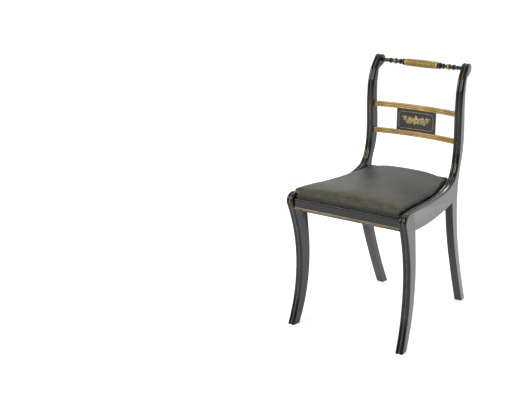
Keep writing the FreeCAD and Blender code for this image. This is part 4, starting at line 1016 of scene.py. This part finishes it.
def pad_top(plan):
    """Height of the pad's top: an arc across the chair over a line that follows the swept seat.

    A bell curve of the distance from each back corner is taken off it.
    """
    x, y = plan[..., 0], plan[..., 1]
    half = pad_wall(y) + pad_spread(y) - PAD_ROUND
    rise = PAD_CROWN - PAD_SHOULDER
    bend = (half ** 2 + rise ** 2) / (2.0 * rise)
    corner = np.hypot(half + PAD_ROUND - np.abs(x), SEAT_BACK_Y - y)
    low = PAD_BACK_CORNER * np.exp(-(corner / PAD_BACK_REACH) ** 2)
    return seat_z(y) + pad_edge(y) + PAD_CROWN - bend + np.sqrt(bend ** 2 - x ** 2) - low


def pad_rings(wall, shrink, bottom):
    """Closed form of rings, from the middle below over the rolled edge to the middle on top.

    The rolled edge is two quarter ellipses: from the fold out to the belly, and from there in to the
    top. Its sizes vary along the outline with the squares of the outward direction: the sides, the
    front and the back each have their own. Below the fold the form stands upright, a wall's thickness
    inside the outline; the rolled edge and the top lie a shrink inside the pad's own surface.
    """
    outline, out = plan_ring()
    side, y = out[:, 0] ** 2, outline[:, 1]
    ahead = np.where(out[:, 1] < 0.0, out[:, 1] ** 2, 0.0)
    swell = pad_spread(y) * side + PAD_FRONT_SWELL * ahead + PAD_SWELL * (1.0 - side - ahead)
    inwards = PAD_ROUND + (PAD_FRONT_ROUND - PAD_ROUND) * ahead
    fold = seat_z(y) + side_fold(y) * side + PAD_FOLD * (1.0 - side) + shrink
    high = pad_top(outline + out * (swell - inwards)[:, None]) - shrink
    belly = fold + PAD_BELLY * (high - fold)
    turn = np.linspace(-math.pi / 2.0, math.pi / 2.0, 17)[:, None]
    below = (swell - shrink + wall) * np.cos(turn) - wall
    above = swell - shrink - (inwards - shrink) * (1.0 - np.cos(turn))
    reach = np.where(turn < 0.0, below, above)
    height = belly + np.where(turn < 0.0, belly - fold, high - belly) * np.sin(turn)
    floor = seat_z(y) + bottom
    roll = np.concatenate([outline + out * reach[..., None], np.maximum(height, floor)[..., None]], 2)
    middle = np.array((0.0, (SEAT_FRONT_Y + SEAT_BACK_Y) / 2.0))
    share = np.linspace(0.0, PAD_LAST_RING, 24)[1:, None, None]
    top = roll[-1, :, :2] * (1.0 - share) + middle * share
    top = np.concatenate([top, (pad_top(top) - shrink)[..., None]], 2)
    edge = outline - out * (wall + PAD_UNDER)
    under = np.concatenate([edge * (1.0 - share[::-1]) + middle * share[::-1], edge[None]])
    under = np.concatenate([under, (seat_z(under[..., 1]) + bottom)[..., None]], 2)
    return np.concatenate([under, roll, top])


def swelling(start, rest):
    """Cloth simulation on the start of the pad: pressure from inside, held below the fold.

    The hold falls from whole to none over a short height at the fold, in even steps.
    """
    x, y, z = (rest / MM + (0.0, MIDDLE, 0.0)).T
    near_board = np.abs(x) > pad_wall(y) - PAD_SLACK - SIDE_ZONE
    fold = np.where(near_board, side_fold(y), PAD_FOLD)
    firm = np.round(np.clip((fold + HOLD_ABOVE - (z - seat_z(y))) / HOLD_RUN, 0.0, 1.0), 1)
    held = start.vertex_groups.new(name="held")
    for level in np.unique(firm):
        held.add(np.nonzero(firm == level)[0].tolist(), float(level), "REPLACE")
    cloth = start.modifiers.new("swell", "CLOTH")
    cloth.settings.use_pressure = True
    cloth.settings.uniform_pressure_force = PRESSURE
    cloth.settings.vertex_group_mass = "held"
    cloth.settings.tension_stiffness = STRETCH_HOLD
    cloth.settings.bending_stiffness = BEND_HOLD
    cloth.settings.effector_weights.gravity = 0.0
    for step in range(1, CLOTH_FRAMES + 1):
        bpy.context.scene.frame_set(step)
    bpy.ops.object.modifier_apply(modifier="swell")
    bpy.context.scene.frame_set(1)


def swollen(points):
    """Pad made of even faces, softened, swollen by cloth with each move capped, and divided once."""
    mesh = closed_rings("seat_cover_start", points)
    start = bpy.data.objects.new("seat_cover_start", mesh)
    bpy.context.scene.collection.objects.link(start)
    bpy.context.view_layer.objects.active = start
    remesh = start.modifiers.new("even", "REMESH")
    remesh.mode = "VOXEL"
    remesh.voxel_size = VOXEL * MM
    bpy.ops.object.modifier_apply(modifier="even")
    softer = start.modifiers.new("softer", "SMOOTH")
    softer.factor, softer.iterations = 0.5, PAD_SOFTER
    bpy.ops.object.modifier_apply(modifier="softer")
    rest, outward = vertices_of(start.data), vertices_of(start.data, "normal")
    swelling(start, rest)
    move = vertices_of(start.data) - rest
    far = np.linalg.norm(move, axis=1)
    limit = np.where((move * outward).sum(1) > 0.0, PAD_SLACK - PAD_MARGIN, PAD_DRAW) * MM
    placed = rest + move * np.minimum(1.0, limit / np.maximum(far, 1e-9))[:, None]
    start.data.vertices.foreach_set("co", placed.astype(np.float32).ravel())
    smoother = start.modifiers.new("finer", "SUBSURF")
    smoother.levels = smoother.render_levels = 1
    bpy.ops.object.modifier_apply(modifier="finer")
    done, outward = vertices_of(start.data) / MM + (0.0, MIDDLE, 0.0), vertices_of(start.data, "normal")
    corners = np.zeros(len(start.data.loops), np.int32)
    start.data.loops.foreach_get("vertex_index", corners)
    bpy.data.objects.remove(start)
    return squared(done, outward), corners.reshape(-1, 4)


def vertices_of(mesh, what="co"):
    """A mesh's places, or its normals, as rows of three numbers."""
    places = np.zeros(len(mesh.vertices) * 3, np.float32)
    mesh.vertices.foreach_get(what, places)
    return places.reshape(-1, 3).astype(float)


def squared(points, outward):
    """Below the fold the cloth lies tight round the wooden frame: its faces are drawn out flat again.

    The sides, front and back go towards their flat places by a share that grows with the depth below
    the fold. The underside goes all the way.
    """
    x, y, z = points.T.copy()
    above = z - seat_z(y)
    wall = pad_wall(y)
    at_side = (wall - np.abs(x) < EDGE_ZONE) & (outward[:, 0] * np.sign(x) > FACING)
    low = np.clip((np.where(at_side, side_fold(y), PAD_FOLD) - above) / DRAWN_RUN, 0.0, 1.0)
    x = np.where(at_side, x + low * (np.sign(x) * wall - x), x)
    at_front = (y < SEAT_FRONT_Y + EDGE_ZONE) & (outward[:, 1] < -FACING)
    at_back = (y > SEAT_BACK_Y - EDGE_ZONE) & (outward[:, 1] > FACING)
    y = np.where(at_front, y + low * (SEAT_FRONT_Y - y), np.where(at_back, y + low * (SEAT_BACK_Y - y), y))
    under = seat_z(y) + DUST_COVER
    z = np.where((above < EDGE_ZONE) & (outward[:, 2] < -FACING), under, np.maximum(z, under))
    return np.stack([x, y, z], 1)


def seat_cover():
    """Horsehair cover: the swollen pad, lapping over the reeds, open below inside its turned-in edge."""
    points, quads = swollen(pad_rings(PAD_WALL, PAD_SLACK, DUST_COVER + LAYER_GAP))
    centre = points[quads].mean(1)
    wall = pad_wall(centre[:, 1]) - np.abs(centre[:, 0])
    inset = np.minimum(wall, np.minimum(centre[:, 1] - SEAT_FRONT_Y, SEAT_BACK_Y - centre[:, 1]))
    under = centre[:, 2] - seat_z(centre[:, 1]) < DUST_COVER + UNDER_ZONE
    quads = quads[~(under & (inset > COVER_RETURN))]
    used, quads = np.unique(quads, return_inverse=True)
    points = points[used]
    mesh = made_mesh("seat_cover_cloth", points, quads.reshape(-1, 4), sharp=60.0)
    worn = np.clip((WORN_DEPTH - (points[:, 1] - SEAT_FRONT_Y)) / WORN_DEPTH, 0.0, 1.0)
    raised = np.clip((points[:, 2] - seat_z(points[:, 1]) - PAD_FOLD) / WORN_RISE, 0.0, 1.0)
    measure(mesh, "front_edge", np.sqrt(worn) * raised)
    cover = piece("seat_cover_cloth", mesh, (HORSEHAIR,), "seat", "black_cloth", "seat_cover")
    shell = cover.modifiers.new("thickness", "SOLIDIFY")
    shell.thickness = COVER * MM
    shell.offset = -1.0


def flat_on_seat(name, y_low, y_high, edges, height, thickness, material, slot, node):
    """Strip or sheet over the frame: a grid in x and y at a height above the seat's underside."""
    v = np.linspace(y_low, y_high, SHEET_ROWS)
    low, high = (edge(v)[:, None] for edge in edges)
    x = low + np.linspace(0.0, 1.0, SHEET_COLUMNS) * (high - low)
    y = np.broadcast_to(v[:, None], x.shape)
    points = np.stack([x, y, seat_z(y) + height + thickness / 2.0], -1)
    made = piece(name, made_mesh(name, points, grid_quads(*x.shape)), (material,), "seat", slot, node)
    shell = made.modifiers.new("thickness", "SOLIDIFY")
    shell.thickness = thickness * MM
    shell.offset = 0.0
    return made


def frame_edge(y, inset=0.0):
    """Outer edge of the seat's wooden frame at y, moved in by an inset."""
    return pad_wall(y) - COVER - LAYER_GAP - inset


def inside(inset):
    """Left and right edge of a sheet that stays an inset inside the seat's wooden frame."""
    return lambda y: -frame_edge(y, inset), lambda y: frame_edge(y, inset)


def seat_insides():
    """Straps, base cloth, dust cover and stuffing, in the order in which they are put on."""
    front, back = SEAT_FRONT_Y + COVER + LAYER_GAP, SEAT_BACK_Y - COVER - LAYER_GAP
    top = DUST_COVER + COVER + LAYER_GAP + FRAME_THICK
    pitch = (back - front - 2.0 * STRAP_END - STRAP_WIDTH) / (STRAPS_ACROSS - 1)
    for index in range(STRAPS_ACROSS):
        low = front + STRAP_END + index * pitch
        flat_on_seat("strap_across_%d" % (index + 1), low, low + STRAP_WIDTH, inside(STRAP_END), top,
                     STRAP_THICK, JUTE, "jute_webbing", "webbing_crosswise")
    spread = (2.0 * frame_edge(back, STRAP_END) - STRAP_WIDTH) / 2.0
    for index in range(STRAPS_ALONG):
        left = (index - 1) * spread - STRAP_WIDTH / 2.0
        edges = (lambda y: 0.0 * y + left, lambda y: 0.0 * y + left + STRAP_WIDTH)
        flat_on_seat("strap_along_%d" % (index + 1), front + STRAP_END, back - STRAP_END, edges,
                     top + STRAP_THICK, STRAP_THICK, JUTE, "jute_webbing", "webbing_lengthwise")
    high = top + 2.0 * STRAP_THICK
    cloth_low, cloth_high = front + STRAP_END / 2.0, back - STRAP_END / 2.0
    cloth = flat_on_seat("base_cloth_hessian", cloth_low, cloth_high, inside(STRAP_END / 2.0), high,
                         BASE_CLOTH, HESSIAN, "hessian", "base_cloth")
    declare_sheet(cloth_low, cloth_high, STRAP_END / 2.0)
    dust_low, dust_high = front + DUST_INSET, back - DUST_INSET
    dust = flat_on_seat("dust_cover_cloth", dust_low, dust_high, inside(DUST_INSET), 0.0, DUST_COVER,
                        LINING, "lining_cloth", "dust_cover")
    declare_sheet(dust_low, dust_high, DUST_INSET)
    mesh = closed_rings("seat_stuffing_hair", pad_rings(
        COVER + STUFFING_WALL, PAD_SLACK + COVER + STUFFING_DEPTH, high + BASE_CLOTH + LAYER_GAP))
    stuffing = piece("seat_stuffing_hair", mesh, (HAIR,), "seat", "hair_stuffing", "seat_stuffing")


def declare_sheet(y_low, y_high, inset):
    """Area of a tapered sheet: the mean of its two ends times its length. The value is not kept."""
    wide, narrow = (2.0 * frame_edge(y, inset) * MM for y in (y_low, y_high))
    length = (y_high - y_low) * MM
    (wide + narrow) / 2.0 * length


def kept_nodes():
    """Finishes of the pieces that show their solids: blocks and seat frame, screws and tacks."""
    for node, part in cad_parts.items():
        wooden = node.endswith("corner_block") or node.startswith("seat_frame_")
        finish = {"corner_block_screws": SCREW, "cover_tacks": TACK}.get(node, BEECH if wooden else None)
        if finish:
            part.data.materials.clear()
            part.data.materials.append(finish)


# Studio

def studio():
    """White floor and surround, soft lamps, and the camera that the photograph was taken with."""
    world = bpy.data.worlds.new("surround")
    bpy.context.scene.world = world
    world.use_nodes = True
    tree = world.node_tree
    background = tree.nodes["Background"]
    way = Term(tree).node("ShaderNodeTexCoord", "Generated", {})
    behind = way.node("ShaderNodeSeparateXYZ", "Y", {"Vector": way}).between(-0.7, 0.5)
    camera, glossy, clear = light_path(way)
    mirrored = glossy.math("MAXIMUM", glossy, clear)
    background.inputs["Color"].default_value = (1.0, 1.0, 1.0, 1.0)
    tree.links.new((camera * 0.55 + mirrored * (behind * 0.8 - 0.25) + 0.45).socket,
                   background.inputs["Strength"])
    floor_mesh = bpy.data.meshes.new("floor")
    corners = [(x * FLOOR_REACH, y * FLOOR_REACH, 0) for x, y in ((-1, -1), (1, -1), (1, 1), (-1, 1))]
    floor_mesh.from_pydata(corners, [], [(0, 1, 2, 3)])
    floor = bpy.data.objects.new("floor", floor_mesh)
    bpy.context.scene.collection.objects.link(floor)
    floor_mesh.materials.append(floor_finish())
    lamp("key", (-1.55, -2.45, 1.95), (0.0, 0.0, 0.5), (0.8, 1.4), 46.0)
    lamp("back", (-1.2, 2.2, 1.9), (0.0, 0.1, 0.5), (0.7, 1.0), 14.0)
    lamp("top", (0.2, -0.2, 2.9), (0.0, 0.0, 0.4), (1.0, 1.0), 8.0)
    eye = bpy.data.cameras.new("camera")
    eye.sensor_width = SENSOR
    eye.lens = LENS
    camera = bpy.data.objects.new("camera", eye)
    bpy.context.scene.collection.objects.link(camera)
    camera.location = CAMERA_PLACE
    camera.rotation_euler = (math.pi / 2.0 - CAMERA_TILT, 0.0, CAMERA_TURN)
    bpy.context.scene.camera = camera
    bpy.context.scene.view_settings.view_transform = "Standard"


def light_path(term):
    """What the camera sees, what a reflection sees and what clear glass sees: 1 or 0 each."""
    return [term.node("ShaderNodeLightPath", "Is %s Ray" % kind, {})
            for kind in ("Camera", "Glossy", "Transmission")]


def floor_finish():
    """White paper floor: seen as white, with the chair's shadow on it."""
    material, shader, place = begun("floor_paper", Roughness=0.9, Specular_IOR_Level=0.1,
                                    Emission_Strength=0.6)
    patches = noise(place, 3.0).between(0.0, 1.0)
    link(shader, Base_Color=patches.mixed(rgb(250, 250, 250), rgb(253, 253, 253)))
    camera, glossy, clear = light_path(place)
    behind = place.node("ShaderNodeSeparateXYZ", "Y", {"Vector": place}).between(-0.6, 0.4)
    seen = camera.math("MAXIMUM", camera, glossy.math("MAXIMUM", glossy, clear) * (behind * 0.6 + 0.4))
    link(shader, Emission_Color=seen.mixed(rgb(0, 0, 0), rgb(255, 255, 255)))
    return material


def lamp(name, place, aim, size, power):
    """Rectangular soft lamp at a place, turned towards its aim."""
    light = bpy.data.lights.new(name, "AREA")
    light.shape = "RECTANGLE"
    light.size, light.size_y = size
    light.energy = power
    made = bpy.data.objects.new(name, light)
    bpy.context.scene.collection.objects.link(made)
    made.location = place
    made.rotation_euler = (Vector(aim) - Vector(place)).to_track_quat("-Z", "Y").to_euler()
    made.visible_camera = False


BLACK = ebonised()
# Each gilt's dark colour is for its rubbed places; on the reeds and the rope it is also the painted shade
# in their hollows
GILT_REED = gilt("gilt_reeds", 0.64, 0.8, (84, 68, 36), 1.04)
GILT_ROPE = gilt("gilt_rope", 0.66, 0.82, (44, 34, 22), 1.1)
GILT_LINE = gilt("gilt_line", 0.42, 0.66, (30, 26, 24), 0.72)
GILT_STRIPE = gilt("gilt_stripe", 0.56, 0.72, (90, 72, 36))
GOLD_PAINT = gold_paint()
HORSEHAIR = horsehair()
BEECH = bare_wood()
SCREW = steel("screw_steel", (128, 126, 122), (84, 62, 44))
TACK = steel("tack_steel", (96, 98, 104), (70, 56, 44))
JUTE = weave("jute_webbing", (176, 148, 104), (124, 98, 62), 0.0032, 0.0022)
HESSIAN = weave("hessian", (168, 142, 100), (112, 90, 58), 0.0019, 0.0019)
LINING = weave("lining_cloth", (34, 33, 34), (22, 21, 22), 0.0007, 0.0007)
HAIR = weave("hair_stuffing", (70, 58, 48), (34, 28, 24), 0.0041, 0.0053)

studio()
side_frames()
front_rail()
back_rail()
crest_rail()
cross_rail("upper_cross_rail_reeded", UPPER_CROSS_Z, "upper_cross_rail")
cross_rail("lower_cross_rail_reeded", LOWER_CROSS_Z, "lower_cross_rail")
tablet()
tablet_border()
painted_spray()
seat_cover()
seat_insides()
kept_nodes()
